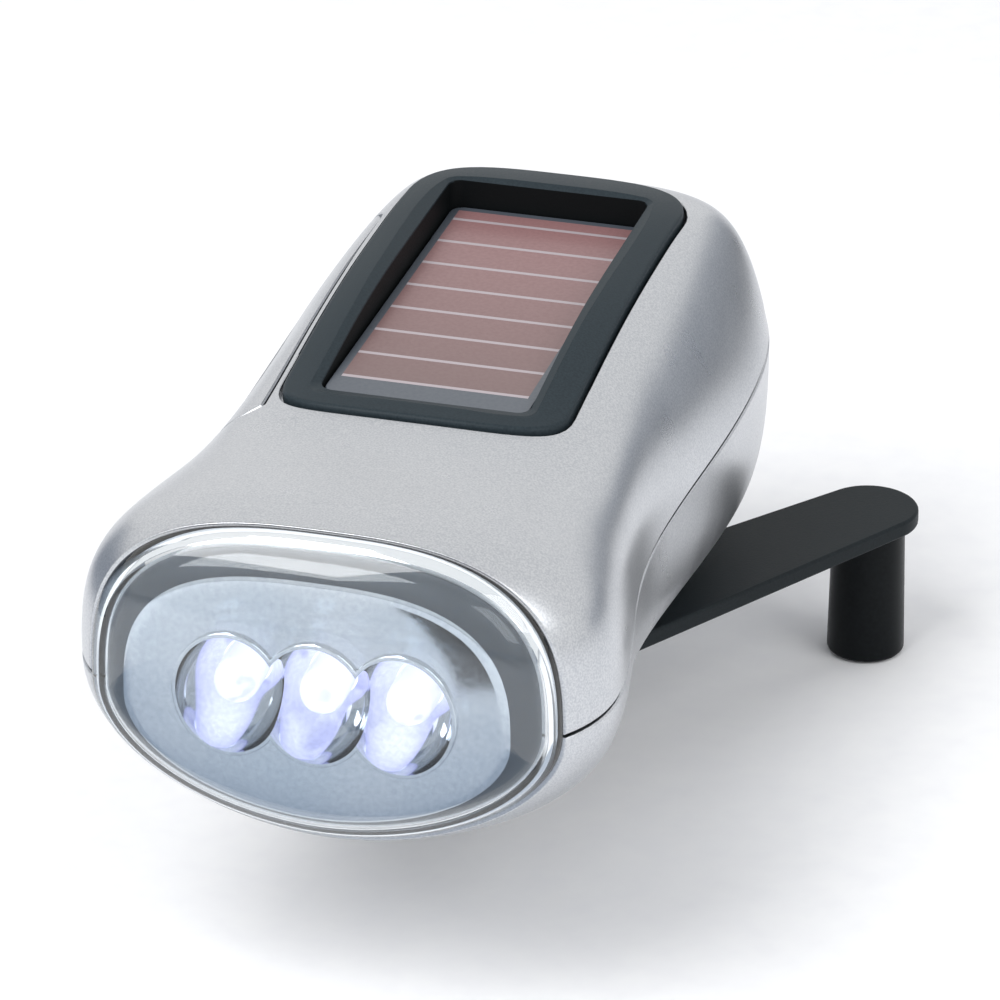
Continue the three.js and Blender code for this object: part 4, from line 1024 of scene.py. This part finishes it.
class FLASHLIGHT_OT_case(bpy.types.Operator):
    """Upper and lower shell, with the seam, the mouth, the bezel's seat and the key's opening"""

    bl_idname = "flashlight.case"
    bl_label = "Case shells"

    def execute(self, context):
        g = groups()
        case, key, solar, crank, screws = g["case"], g["key"], g["solar"], g["crank"], g["screws"]
        form = CaseForm(case)
        paint = silver_painted_abs(g["looks"])
        brk = case.edge_break

        def seam_tool(side):
            """Everything on one side of the seam, with a bevel where it leaves the skin."""
            outline = form.seam_outline(180)
            rim = -side * case.seam_gap / 2
            loops = []
            for offset, rise in [(-brk, rim), (OVERRUN, rim - side * (OVERRUN + brk))]:
                loop = widened(outline, offset, (0, 0, 1))
                loops.append([Vector((p.x, p.y, form.seam(p.y + REST) + rise)) for p in loop])
            return loft([*loops, at_height(loops[-1], side * HIGH_ABOVE)])

        def mouth_tool():
            """What lies in front of the cover's seat, with a bevel along the rim."""
            section = form.section(case.mouth_y)
            ring = [ring_point(section, turn, case.mouth_y) for turn in circle_turns(120)]
            back = 1.5 * MM
            rows = [(-brk, 0), (2 * back - brk, back), (30 * MM, back), (30 * MM, -20 * MM)]
            loops = []
            for offset, shift in rows:
                loops.append([p + Vector((0, shift, 0)) for p in widened(ring, offset, (0, -1, 0))])
            return loft(loops)

        def bezel_tool():
            """The bezel's seat, with a bevel along the skin."""
            floor = solar.panel_top_z - solar.panel_thickness - FIT
            seat = bezel_outline(solar, solar.gap)
            tops = [form.top(x, y - REST) for x, y in seat]
            wide = bezel_outline(solar, solar.gap + brk + OVERRUN)
            loops = [[Vector((x, y - REST, floor)) for x, y in seat]]
            loops.append([Vector((x, y - REST, z - brk)) for (x, y), z in zip(seat, tops)])
            loops.append([Vector((x, y - REST, z + OVERRUN)) for (x, y), z in zip(wide, tops)])
            return loft([*loops, at_height(loops[-1], ABOVE)])

        def key_tool():
            wide = key.gap + key.edge_break + OVERRUN
            rows = [(key.gap, 4 * MM), (key.gap, key.edge_break), (wide, -OVERRUN), (wide, None)]
            opening = loft([key_loop(form, key, grow, depth) for grow, depth in rows])
            return carve(opening, [key_side(form, -key.pivot_x + key.gap, key.edge_break, 1)], "INTERSECT")

        # upper shell: bosses for the screws and a shelf under the bezel stay when it is hollowed
        places = screw_places(screws)
        boss = 3.6 * MM
        bore = screws.shank_radius + PLAY
        shelf_z = solar.panel_top_z - solar.panel_thickness - 2.3 * MM
        shelf_tool = prism_tool(bezel_outline(solar, 1.8 * MM), shelf_z, ABOVE)
        window_tool = prism_tool(window_outline(solar, -3 * MM), 25 * MM, ABOVE)
        bosses = [upright_rod(x, y, boss, -OVERRUN, ABOVE) for x, y in places]
        bores = [upright_rod(x, y, bore, -OVERRUN, 32 * MM, 24) for x, y in places]
        room = carve(form.body(case.wall, 96, 72), [shelf_tool, *bosses])
        # the key's opening is cut while the form is still solid, because a hollow one would confuse the cut
        cuts = [key_tool(), room, seam_tool(-1), mouth_tool(), bezel_tool(), window_tool, *bores]
        upper = carve(form.body(0, 144, 112), cuts)
        finished(upper, "upper_case", "case", ["upper_shell"], paint, form)

        # lower shell: linings round the screws, the knob's pocket and the hub's well stay
        linings = [upright_rod(x, y, boss, -OVERRUN, ABOVE) for x, y in places]
        lining = 1.6 * MM
        pocket_x, pocket_y, pocket_top = 0, crank.pocket_y, crank.pocket_top_z
        linings.append(
            upright_rod(pocket_x, pocket_y, crank.pocket_radius + lining, -OVERRUN, pocket_top + lining, 64)
        )
        linings.append(upright_rod(0, crank.axis_y, crank.hub_radius + 2.7 * MM, -OVERRUN, 5.3 * MM, 64))
        room = carve(form.body(case.wall, 96, 72), linings)
        well_top = crank.hub_recess + crank.hub_thickness + crank.well_gap
        cuts = [hole_tool(form, 0, crank.axis_y, crank.hub_radius + crank.well_gap, well_top, brk, 96)]
        cuts.append(hole_tool(form, pocket_x, pocket_y, crank.pocket_radius, pocket_top, brk, 72))
        cuts += [hole_tool(form, x, y, screws.room_radius, screws.sink, brk, 40) for x, y in places]
        cuts += [upright_rod(x, y, bore, 5 * MM, 32 * MM, 24) for x, y in places]
        cuts.append(upright_rod(0, crank.axis_y, crank.shaft_radius + PLAY, MM, 20 * MM, 48))
        lower = carve(form.body(0, 144, 112), [*cuts, room, seam_tool(1), mouth_tool()])
        finished(lower, "lower_case", "case", ["lower_shell"], paint, form)
        return {"FINISHED"}


class FLASHLIGHT_OT_key(bpy.types.Operator):
    """The long key on the left flank"""

    bl_idname = "flashlight.key"
    bl_label = "Side key"

    def execute(self, context):
        g = groups()
        case, key = g["case"], g["key"]
        form = CaseForm(case)
        edge = 0.3 * MM
        middle = (key.height + key.rise) / 2 - 0.4 * MM
        rows = [(-middle, case.wall), (-2 * MM, case.wall), (0, case.wall)]
        for k in range(4):
            turn = math.pi / 2 * k / 3
            rows.append((-edge * (1 - math.cos(turn)), edge * (1 - math.sin(turn))))
        rows += [(-middle * k / 7, 0) for k in range(1, 8)]
        bm = loft([key_loop(form, key, grow, depth) for grow, depth in rows])
        bm = carve(bm, [key_side(form, -key.pivot_x, edge, -1)], "INTERSECT")
        paint = silver_painted_abs(g["looks"])
        finished(bm, "side_key", "key", ["power_key"], paint, form)
        return {"FINISHED"}


# Powers of the curve from seat to front: the cover outside and inside, and the reflector's rim
COVER_POWER = 2.1
COVER_INNER_POWER = 2.5
REFLECTOR_POWER = 2.8
# A bowl's middle is closed at this share of its width
BOWL_TIP_SHARE = 0.012
BOWL_TIP_TURN = 0.02
# The reflector's rear is this share of its front
PLUG_SHARE = 0.96


class FLASHLIGHT_OT_nose(bpy.types.Operator):
    """Clear cover, reflector with its three cups, and the lit LEDs"""

    bl_idname = "flashlight.nose"
    bl_label = "Nose"

    def execute(self, context):
        g = groups()
        case, nose, looks = g["case"], g["nose"], g["looks"]
        seat = CaseForm(case).section(case.mouth_y)

        def bowl(inset, power, rows):
            """Loops of the cover's form, from its seat to its front, drawn in by inset."""
            half, middle, up, down, upper, lower, limit = seat
            step, low_step = nose.cover_step, nose.cover_low_step
            section = (half - step - inset, middle, up - step - inset, down - low_step - inset, upper, lower, limit)
            front = nose.cover_front_y + inset
            depth = case.mouth_y - front
            loops = []
            for turn in rows:
                y = front + depth * (1 - math.cos(turn))
                scale = end_share(y - front, depth, power) if turn > BOWL_TIP_TURN else BOWL_TIP_SHARE
                loops.append([ring_point(section, around, y, scale) for around in circle_turns(128)])
            return loops

        back_turn = math.acos(nose.cover_gap / (case.mouth_y - nose.cover_front_y))
        rows = [back_turn * (1 - k / 40) for k in range(41)]
        inner_back = math.acos(nose.cover_gap / (case.mouth_y - nose.cover_front_y - nose.cover_wall))
        inner_rows = [inner_back * k / 32 for k in range(33)]
        cover = loft(bowl(nose.cover_wall, COVER_INNER_POWER, inner_rows) + bowl(0, COVER_POWER, rows))
        clear = clear_polycarbonate(looks)
        finished(cover, "clear_cover", "case", ["lens_cover"], clear, smooth_deg=50)

        # reflector: a flat face with a rounded rim, and a plug behind it that fills the case's mouth
        margin = nose.cover_wall + 0.5 * MM
        front = nose.cover_front_y + margin
        depth = case.mouth_y - front
        flat_turn = math.acos(1 - (nose.face_y - front) / depth)
        last_turn = math.acos(nose.cover_gap / depth)
        rows = [last_turn + (flat_turn - last_turn) * k / 8 for k in range(9)]
        plate = bowl(margin, REFLECTOR_POWER, rows)
        back = [p + Vector((0, nose.back_y - case.mouth_y, 0)) for p in plate[0]]
        middle = seat[1]
        plug = [Vector((p.x * PLUG_SHARE, p.y, middle + (p.z - middle) * PLUG_SHARE)) for p in back]
        tray = loft([plug, *plate])
        rims, hollows = [], []
        for k in CUPS:
            centre = Vector((k * nose.cup_pitch, nose.face_y - REST, nose.cup_z))
            cup = bmesh.new()
            bmesh.ops.create_uvsphere(cup, u_segments=72, v_segments=36, radius=1)
            size = (nose.cup_half_width, nose.cup_depth, nose.cup_half_height)
            bmesh.ops.scale(cup, vec=size, verts=cup.verts)
            bmesh.ops.translate(cup, vec=centre, verts=cup.verts)
            hollows.append(cup)

            def rim(inset):
                across, upward = nose.cup_half_width + nose.rim - inset, nose.cup_half_height + nose.rim - inset
                turns = circle_turns(72)
                return [(centre.x + across * math.cos(t), centre.z + upward * math.sin(t)) for t in turns]

            rims.append(slab(rim, centre.y - nose.rim, centre.y + 2 * MM, PLAY, on_edge))
        led_hole = nose.led_radius + PLAY
        for k in CUPS:
            place = (k * nose.cup_pitch, nose.face_y - REST, nose.cup_z)
            hollows.append(rod(led_hole, 0, THROUGH, 40, place, (0, 1, 0)))
        tray = carve(carve(tray, rims, "UNION"), hollows)
        tray = finished(tray, "reflector_tray", "case", ["reflector"], metallised_abs(looks))
        # the reflector's side, outside the cups, gets painted shade in dark blue grey
        self.paint_side_shade(tray.data, nose, side_shade_abs(looks))

        glow = lit_epoxy(looks)
        r, flange, tall = nose.led_radius, nose.led_flange_radius, nose.led_length
        profile = [(0, 0), (flange, 0), (flange, MM), (r, MM)]
        profile += [(r * math.cos(a), tall - r + r * math.sin(a)) for a in [math.pi / 2 * k / 10 for k in range(11)]]
        profile[-1] = (0, tall)
        for n, k in enumerate(CUPS, 1):
            place = (k * nose.cup_pitch, nose.led_base_y - REST, nose.cup_z)
            dome = turned(profile, 40, place, (0, -1, 0))
            finished(dome, f"led_dome_{n}", "case", [f"led_{n}"], glow)
        return {"FINISHED"}

    def paint_side_shade(self, mesh, nose, shade_finish):
        """Gives the side of the reflector, outside its cups, the dull blue grey of painted shade."""
        mesh.materials.append(shade_finish)
        across, upward = nose.cup_half_width + MM, nose.cup_half_height + MM
        side_y = nose.face_y - REST + 0.25 * MM
        for face in mesh.polygons:
            x, y, z = face.center
            reach = min(((x - k * nose.cup_pitch) / across) ** 2 + ((z - nose.cup_z) / upward) ** 2 for k in CUPS)
            if reach > 1 and y > side_y:
                face.material_index = 1


class FLASHLIGHT_OT_solar(bpy.types.Operator):
    """Solar bezel with its sloping lip, and the cell in its window"""

    bl_idname = "flashlight.solar"
    bl_label = "Solar top"

    def execute(self, context):
        g = groups()
        solar, looks = g["solar"], g["looks"]
        form = CaseForm(g["case"])
        bottom = solar.panel_top_z - solar.panel_thickness

        def surface(x, y):
            """Height of the bezel's face."""
            return form.top(x, y - REST, -solar.proud)

        def lip_level(y):
            """Height of the foot of the sloping lip."""
            return form.crown(y) + solar.proud - solar.lip_depth

        crease = 0.02 * MM
        hair = 1.006
        window = window_outline(solar, 0)
        lip = window_outline(solar, solar.lip_flare)
        lip_loop = []
        # the lip ends at its full flare, or where it meets the bezel's face before that
        for (x0, y0), (x1, y1) in zip(window, lip):
            share = 1.0
            for k in range(1, 41):
                s = k / 40
                x, y = x0 + (x1 - x0) * s, y0 + (y1 - y0) * s
                if lip_level(y) + solar.lip_rise * s > surface(x, y) - crease:
                    share = s
                    break
            x, y = x0 + (x1 - x0) * share, y0 + (y1 - y0) * share
            lip_loop.append((x, y, min(lip_level(y) + solar.lip_rise * share, surface(x, y))))

        outer = bezel_outline(solar, 0)
        inner_edge = bezel_outline(solar, -solar.edge)
        loops = [[(x, y, bottom) for x, y in window]]
        loops.append([(x, y, lip_level(y) - 0.15 * MM) for x, y in window])
        # the foot of the lip steps back by a hair, which breaks the window's upper edge
        loops.append([(x * hair, y, lip_level(y)) for x, y in window])
        loops.append(lip_loop)
        loops.append([(x, y, surface(x, y) - crease) for x, y, _ in lip_loop])
        for share in (0.04, 0.25, 0.5, 0.75, 1.0):
            ring = [self.between(a, b, share) for a, b in zip(lip_loop, inner_edge)]
            loops.append([(x, y, surface(x, y)) for x, y in ring])
        for k in range(1, 5):
            turn = math.pi / 2 * k / 4
            ring = bezel_outline(solar, -solar.edge * (1 - math.sin(turn)))
            drop = solar.edge * (1 - math.cos(turn))
            loops.append([(x, y, surface(a, b) - drop) for (x, y), (a, b) in zip(ring, inner_edge)])
        loops.append([(x, y, bottom) for x, y in outer])
        shell = loft([[Vector((x, y - REST, z)) for x, y, z in loop] for loop in loops], closed=True)
        satin = textured_abs("satin_black_abs", looks.bezel, looks.bezel_shade, (0.4, 0.5))
        bezel = finished(shell, "solar_bezel", "case", ["solar_frame"], satin, smooth_deg=40)
        # the wall round the cell gets a near-black finish: painted shade in the window's recess
        wall = textured_abs("painted_shade_black_abs", looks.window_wall_shade, looks.knob_shade, (0.5, 0.6))
        self.paint_window_shade(bezel.data, solar, wall)

        def plate_outline(inset):
            return [(x, y - REST) for x, y in window_outline(solar, -FIT - inset)]

        plate = slab(plate_outline, bottom, solar.panel_top_z, 0.12 * MM)
        cell = amorphous_silicon(looks, solar)
        finished(plate, "solar_cell_plate", "case", ["solar_panel"], cell)
        return {"FINISHED"}

    def paint_window_shade(self, mesh, solar, wall):
        """Paints the upright wall round the cell near black, as painted shade in the window's recess."""
        mesh.materials.append(wall)
        margin = 0.1 * MM
        front, rear = solar.window_front_y - REST - margin, solar.window_rear_y - REST + margin
        for face in mesh.polygons:
            inside = abs(face.center.x) < solar.window_half_width + margin and front < face.center.y < rear
            upright = abs(face.normal.z) < 0.3
            if inside and upright:
                face.material_index = 1

    def between(self, first, second, share):
        """A point of the plan on the way from one to another."""
        return tuple(a + (b - a) * share for a, b in zip(first[:2], second[:2]))


class FLASHLIGHT_OT_crank(bpy.types.Operator):
    """Hub with its fork, hinge pin, arm, knob and rivet"""

    bl_idname = "flashlight.crank"
    bl_label = "Crank"

    def execute(self, context):
        g = groups()
        c, looks = g["crank"], g["looks"]
        hinge, along_hinge = (c.hinge_x, 0, c.hinge_z), (0, 1, 0)
        knob_axis = (c.radius, 0, 0)

        def pin_room():
            return rod(c.pin_radius + PLAY, -THROUGH, THROUGH, 32, hinge, along_hinge)

        place = Matrix.Translation((0, c.axis_y - REST, 0)) @ Matrix.Rotation(math.radians(c.rest_deg), 4, "Z")
        arm_black = textured_abs("textured_black_abs", looks.arm, looks.arm_shade, (0.42, 0.52), 0.3, 0.012)
        knob_black = textured_abs("polished_black_abs", looks.knob, looks.knob_shade, (0.3, 0.38), 0.5, 0.004)
        steel = plated_steel()

        # hub: a disc with its shaft, the square that drives the gear, and the two ears of the fork
        hub_low = c.hub_recess
        hub_top = hub_low + c.hub_thickness
        roof = hub_top + c.well_gap + 1.8 * MM
        profile = rounded([(0, hub_low), (c.hub_radius, hub_low), (c.hub_radius, hub_top)], 0.5 * MM)
        profile += [(c.shaft_radius, hub_top), (c.shaft_radius, roof + PLAY), (0, roof + PLAY)]
        hub = turned(profile, 120)
        square = 2.8 * MM
        parts = [box_tool((-square, -square, roof - MM), (square, square, roof + 3.4 * MM))]

        def ear(inset):
            r = c.ear_radius - inset
            arc = [math.pi + math.pi * k / 16 for k in range(17)]
            loop = [(c.hinge_x + r * math.cos(a), c.hinge_z + r * math.sin(a)) for a in arc]
            return loop + [(c.hinge_x + r, hub_low + MM), (c.hinge_x - r, hub_low + MM)]

        for side in SIDES:
            low, high = sorted((side * c.fork_inner, side * (c.fork_inner + c.fork_ear)))
            parts.append(slab(ear, low, high, 0.3 * MM, on_edge))
        screw_room = rod(1.35 * MM, roof - MM, THROUGH, 24)
        hub = carve(carve(hub, parts, "UNION"), [pin_room(), screw_room])
        finished(hub, "hub_fork", "crank", ["crank_hub"], arm_black, place=place)

        reach = c.fork_inner + c.fork_ear + PLAY
        head = 0.5 * MM
        end, wide = reach + head, c.pin_radius + head
        profile = [(0, -end), (wide, -end), (wide, -reach), (c.pin_radius, -reach)]
        profile += [(c.pin_radius, reach), (wide, reach), (wide, end), (0, end)]
        pin = turned(rounded(profile, 0.2 * MM), 32, hinge, along_hinge)
        finished(pin, "fork_pin", "crank", ["hinge_pin"], steel, place=place)

        # arm: tapered blade, neck and knuckle
        top, low = c.arm_top_z, c.arm_top_z - c.arm_thickness
        slope = math.asin((c.arm_root_half - c.arm_tip_radius) / (c.radius - c.arm_start))

        def blade(inset):
            corner = max(1.6 * MM - inset, 0.2 * MM)
            start, half = c.arm_start + inset, c.arm_root_half - inset
            loop = []
            for k in range(25):
                turn = -math.pi / 2 + slope + (math.pi - 2 * slope) * k / 24
                r = c.arm_tip_radius - inset
                loop.append((c.radius + r * math.cos(turn), r * math.sin(turn)))
            for k in range(7):
                turn = math.pi / 2 + math.pi / 2 * k / 6
                loop.append((start + corner + corner * math.cos(turn), half - corner + corner * math.sin(turn)))
            return loop + [(x, -y) for x, y in reversed(loop[25:])]

        arm = slab(blade, low, top, c.arm_edge, steps=4)
        knuckle_half = c.fork_inner - FIT

        def knuckle(inset):
            r = c.knuckle_radius - inset
            arc = [math.radians(30 + 300 * k / 28) for k in range(29)]
            loop = [(c.hinge_x + r * math.cos(a), c.hinge_z + r * math.sin(a)) for a in arc]
            return loop + [(c.arm_start + MM, low + inset), (c.arm_start + MM, top - inset)]

        neck = slab(knuckle, -knuckle_half, knuckle_half, 0.25 * MM, on_edge)
        rivet_room = rod(c.rivet_radius + PLAY, low - OVERRUN, top - 0.6 * MM, 32, knob_axis)
        arm = carve(carve(arm, [neck], "UNION"), [rivet_room, pin_room()])
        finished(arm, "arm_blade", "arm", ["crank_arm"], arm_black, place=place)

        # knob: a tapered sleeve with a sunk room for the rivet's head
        knob_top = low - c.knob_gap
        knob_low = knob_top - c.knob_length
        knob_play = 0.25 * MM
        bore, room = c.rivet_radius + knob_play, c.rivet_head_radius + knob_play
        step, bevel = knob_low + 1.5 * MM, 0.2 * MM
        outside = [(room + 2 * bevel, knob_low), (c.knob_low_radius, knob_low)]
        outside += [(c.knob_top_radius, knob_top), (bore, knob_top)]
        profile = [(bore, step), (room, step), (room, knob_low + bevel), (room + bevel, knob_low)]
        profile += rounded(outside, c.knob_edge, 5)
        profile.append((bore, step))
        knob = turned(profile, 96, knob_axis)
        finished(knob, "turning_knob", "knob", ["crank_knob"], knob_black, place=place)

        end = knob_low + c.knob_gap
        head_top, tip = end + 0.7 * MM, top - 0.75 * MM
        profile = [(0, end), (c.rivet_head_radius, end), (c.rivet_head_radius, head_top)]
        profile += [(c.rivet_radius, head_top), (c.rivet_radius, tip), (0, tip)]
        rivet = turned(rounded(profile, 0.25 * MM), 40, knob_axis)
        finished(rivet, "rivet", "arm", ["knob_rivet"], steel, place=place)
        return {"FINISHED"}


class FLASHLIGHT_OT_screws(bpy.types.Operator):
    """All screws, with their cross recesses and threads"""

    bl_idname = "flashlight.screws"
    bl_label = "Screws"

    def execute(self, context):
        g = groups()
        s, c = g["screws"], g["crank"]
        form = CaseForm(g["case"])
        steel = plated_steel()
        for n, (x, y) in enumerate(screw_places(s), 1):
            seat = s.sink - PLAY
            tip = form.seam(y) + s.bite - FIT
            self.screw(s, f"case_screw_{n}", "case", (x, y - REST, seat), tip - seat, -1, steel)
        for n in (1, 2):
            low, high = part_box(f"board_screw_{n}")
            seat = low.z + s.head_height
            middle = (low + high) / 2
            self.screw(s, f"board_screw_{n}", "case", (middle.x, middle.y, seat), high.z - seat, -1, steel)
        for name, body in [(f"bracket_screw_{n}", "case") for n in (1, 2, 3)] + [("hub_screw", "crank")]:
            low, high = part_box(name)
            seat = high.z - s.head_height
            middle = (low + high) / 2
            self.screw(s, name, body, (middle.x, middle.y, seat), seat - low.z, 1, steel)
        return {"FINISHED"}

    def screw(self, s, node, body, seat, reach, facing, steel):
        """A pan head screw whose head stands on seat, facing up or down."""
        r, head, thread = s.shank_radius, s.head_height, 0.7 * MM
        core = r * 0.78
        profile = [(0, -reach), (r * 0.35, -reach), (r * 0.8, -reach + 1.2 * MM)]
        start = -reach + 1.3 * MM
        for k in range(max(int((reach - 1.6 * MM) / thread), 1)):
            low = start + k * thread
            profile += [(core, low), (r, low + 0.25 * MM), (r, low + 0.33 * MM), (core, low + 0.6 * MM)]
        profile += [(r * 0.8, 0), (s.head_radius, 0), (s.head_radius, head * 0.45)]
        profile += [(s.head_radius * 0.93, head * 0.75), (s.head_radius * 0.72, head * 0.95), (0, head)]
        width, half = 0.35 * MM, 1.35 * MM
        low, high = head * 0.35, head * 2
        cross = [box_tool((-x, -y, low), (x, y, high)) for x, y in ((width, half), (half, width))]
        made = carve(turned(profile, 32), cross)
        turn = Matrix.Identity(4) if facing > 0 else Matrix.Rotation(math.pi, 4, "X")
        place = Matrix.Translation(seat) @ turn
        finished(made, f"steel_{node}", body, [node], steel, place=place)


class FLASHLIGHT_OT_inner_works(bpy.types.Operator):
    """Finishes of the boards, cells, gears and generator inside the case"""

    bl_idname = "flashlight.inner_works"
    bl_label = "Inner works"

    def execute(self, context):
        steel = plated_steel()
        board = moulded_plastic("solder_masked_board", "#2c6b49", "#1f5638", (0.3, 0.42), 1.2)
        gear = moulded_plastic("white_acetal", "#e9e7dd", "#dcd9cc", (0.38, 0.46), 0.8)
        black = moulded_plastic("black_abs", "#2a2e31", "#202427", (0.42, 0.52), 0.4)
        core = bare_metal("silicon_steel", "#9ea2a6", "#83878c", (0.34, 0.46), 0.6)
        wire = bare_metal("enamelled_copper", "#b5683a", "#9a5230", (0.3, 0.4), 0.35)
        magnet = bare_metal("sintered_ferrite", "#46484c", "#37393d", (0.5, 0.6), 0.5)
        nickel = bare_metal("nickel_plate", "#cfcfca", "#b9b9b3", (0.2, 0.3), 0.5)
        red = moulded_plastic("red_pvc", "#a83228", "#942a21", (0.4, 0.5), 0.4)
        sleeve = moulded_plastic("black_pvc", "#26292c", "#1d2022", (0.4, 0.5), 0.4)
        finishes = {
            board: ["led_board", "main_board"],
            gear: ["drive_gear", "gear_1", "gear_2"],
            black: ["switch_plunger", "switch_body", "control_chip", "cell_holder", "gear_bracket"],
            core: ["stator_core"],
            wire: ["stator_coil"],
            magnet: ["magnet_rotor"],
            nickel: ["cell_1", "cell_2", "cell_3", "capacitor"],
            red: ["led_lead_1", "solar_lead_1"],
            sleeve: ["led_lead_2", "solar_lead_2"],
            steel: ["gear_axle_1", "gear_axle_2", "hub_washer"],
        }
        for material, names in finishes.items():
            for name in names:
                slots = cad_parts[name].data.materials
                slots.clear()
                slots.append(material)
        return {"FINISHED"}


class FLASHLIGHT_OT_stage(bpy.types.Operator):
    """Floor, soft lamps, white room and the camera"""

    bl_idname = "flashlight.stage"
    bl_label = "Stage"

    def execute(self, context):
        stage = groups()["stage"]
        context.scene.view_settings.view_transform = "Standard"
        self.floor(stage)
        self.room(stage)
        self.cards(stage)
        self.lamp("key_lamp", (-0.35, -0.45, 0.75), 0.6, stage.key_light)
        self.lamp("fill_lamp", (0.6, -0.2, 0.5), 0.5, stage.fill_light)
        self.camera(stage)
        return {"FINISHED"}

    def floor(self, stage):
        """A wide sheet of white card under the object."""
        bm = bmesh.new()
        bmesh.ops.create_grid(bm, x_segments=1, y_segments=1, size=3)
        bmesh.ops.translate(bm, vec=(0, 0, stage.floor_z), verts=bm.verts)
        floor = as_object(bm, "floor")
        card, tree, shader = new_finish("matt_white_card", Roughness=0.9)
        speckle(tree, shader, linear("#fbfbfb"), linear("#f7f7f8"), 4.0)
        floor.data.materials.append(card)

    def room(self, stage):
        """A white room that is full white to the camera, gloss and glass, and lights with less than that."""
        world = bpy.data.worlds.new("white room")
        bpy.context.scene.world = world
        world.use_nodes = True
        tree = world.node_tree
        rays = add_node(tree, "ShaderNodeLightPath").outputs
        seen = rays["Is Camera Ray"]
        for kind in ("Is Glossy Ray", "Is Transmission Ray"):
            seen = add_node(tree, "ShaderNodeMath", {0: seen, 1: rays[kind]}, operation="MAXIMUM").outputs[0]
        room, white = tree.nodes["Background"], add_node(tree, "ShaderNodeBackground", {"Color": linear("#ffffff")})
        room.inputs["Color"].default_value = linear("#f4f6fa")
        room.inputs["Strength"].default_value = stage.ambient
        mixed = add_node(tree, "ShaderNodeMixShader", {0: seen, 1: room.outputs[0], 2: white.outputs[0]})
        tree.links.new(mixed.outputs[0], tree.nodes["World Output"].inputs["Surface"])

    def cards(self, stage):
        """Cards beside and before the object, seen only in its gloss, as a studio sets them round metal."""
        dark = studio_felt("dark_felt", "#24262a", "#1e2023")
        grey = studio_felt("grey_felt", "#9aa1ab", "#8f96a0")
        paper = graded_paper(-120 * MM, -70 * MM)
        low = stage.floor_z + MM
        # each card's middle and its two half sides, in metres
        for name, middle, across, up, finish in (
            ("felt_behind", (0.24, 0.49, low), (0.17, 0, 0), (0, 0.14, 0), dark),
            ("felt_right", (0.4, 0.62, 0.035), (-0.3, 0.17, 0), (0, 0, 0.055), grey),
            ("felt_left", (-0.16, 0.03, 0.015), (0.03, 0.07, 0), (0, 0, 0.035), grey),
            ("felt_front", (-0.0095, -0.109, low + MM), (0.005, -0.004, 0), (0.0045, 0.0095, 0), dark),
            ("paper_front", (-0.02, -0.078, low), (0.07, 0, 0), (0, 0.043, 0), paper),
        ):
            self.card(name, middle, across, up, finish)

    def camera(self, stage):
        """The photograph's camera."""
        camera = bpy.data.objects.new("camera", bpy.data.cameras.new("camera"))
        bpy.context.scene.collection.objects.link(camera)
        turn, rise = math.radians(stage.azimuth), math.radians(stage.elevation)
        back = Vector((math.sin(turn) * math.cos(rise), -math.cos(turn) * math.cos(rise), math.sin(rise)))
        right = Vector((math.cos(turn), math.sin(turn), 0))
        above = back.cross(right)
        camera.location = Vector((0, 25 * MM, 20 * MM)) + back * stage.distance
        # the photograph was cut a little off its middle, so the camera looks past its target by these shares
        aside, under = 0.007757, 0.00132
        ahead = (-back + right * aside - above * under).normalized()
        camera.rotation_euler = ahead.to_track_quat("-Z", "Y").to_euler()
        camera.data.sensor_width = 36
        camera.data.lens = stage.lens
        camera.data.clip_start = 0.01
        bpy.context.scene.camera = camera

    def card(self, name, middle, across, up, finish):
        """A card that only gloss sees; across and up are its half sides."""
        bm = bmesh.new()
        bmesh.ops.create_grid(bm, x_segments=1, y_segments=1, size=1)
        sides = Matrix((across, up, Vector(across).cross(up))).transposed().to_4x4()
        bmesh.ops.transform(bm, matrix=Matrix.Translation(middle) @ sides, verts=bm.verts)
        made = as_object(bm, name)
        made.data.materials.append(finish)
        made.visible_camera = made.visible_diffuse = made.visible_shadow = False

    def lamp(self, name, place, size, power):
        """A square soft lamp that faces the middle of the object."""
        data = bpy.data.lights.new(name, "AREA")
        data.size, data.energy = size, power
        lamp = bpy.data.objects.new(name, data)
        lamp.location = place
        lamp.rotation_euler = (Vector((0, 0.02, 0.02)) - Vector(place)).to_track_quat("-Z", "Y").to_euler()
        bpy.context.scene.collection.objects.link(lamp)


STEPS = [
    FLASHLIGHT_OT_case,
    FLASHLIGHT_OT_key,
    FLASHLIGHT_OT_nose,
    FLASHLIGHT_OT_solar,
    FLASHLIGHT_OT_crank,
    FLASHLIGHT_OT_screws,
    FLASHLIGHT_OT_inner_works,
    FLASHLIGHT_OT_stage,
]


class FLASHLIGHT_PT_panel(bpy.types.Panel):
    """Lists the build steps and their sizes"""

    bl_label = "Hand Crank Flashlight"
    bl_space_type = "VIEW_3D"
    bl_region_type = "UI"
    bl_category = "Flashlight"

    def draw(self, context):
        for step in STEPS:
            self.layout.operator(step.bl_idname)
        for name in GROUPS:
            group = getattr(context.scene, name)
            box = self.layout.box()
            box.label(text=name.replace("_", " "))
            for prop in group.bl_rna.properties:
                if prop.identifier not in ("rna_type", "name"):
                    box.prop(group, prop.identifier)


def register():
    for kind in [*GROUPS.values(), *STEPS, FLASHLIGHT_PT_panel]:
        bpy.utils.register_class(kind)
    for name, kind in GROUPS.items():
        setattr(bpy.types.Scene, name, PointerProperty(type=kind))


def unregister():
    for name in GROUPS:
        delattr(bpy.types.Scene, name)
    for kind in reversed([*GROUPS.values(), *STEPS, FLASHLIGHT_PT_panel]):
        bpy.utils.unregister_class(kind)


def main():
    """Builds the flashlight step by step."""
    register()
    for step in STEPS:
        getattr(bpy.ops.flashlight, step.bl_idname.split(".")[1])()


if __name__ == "__main__":
    main()
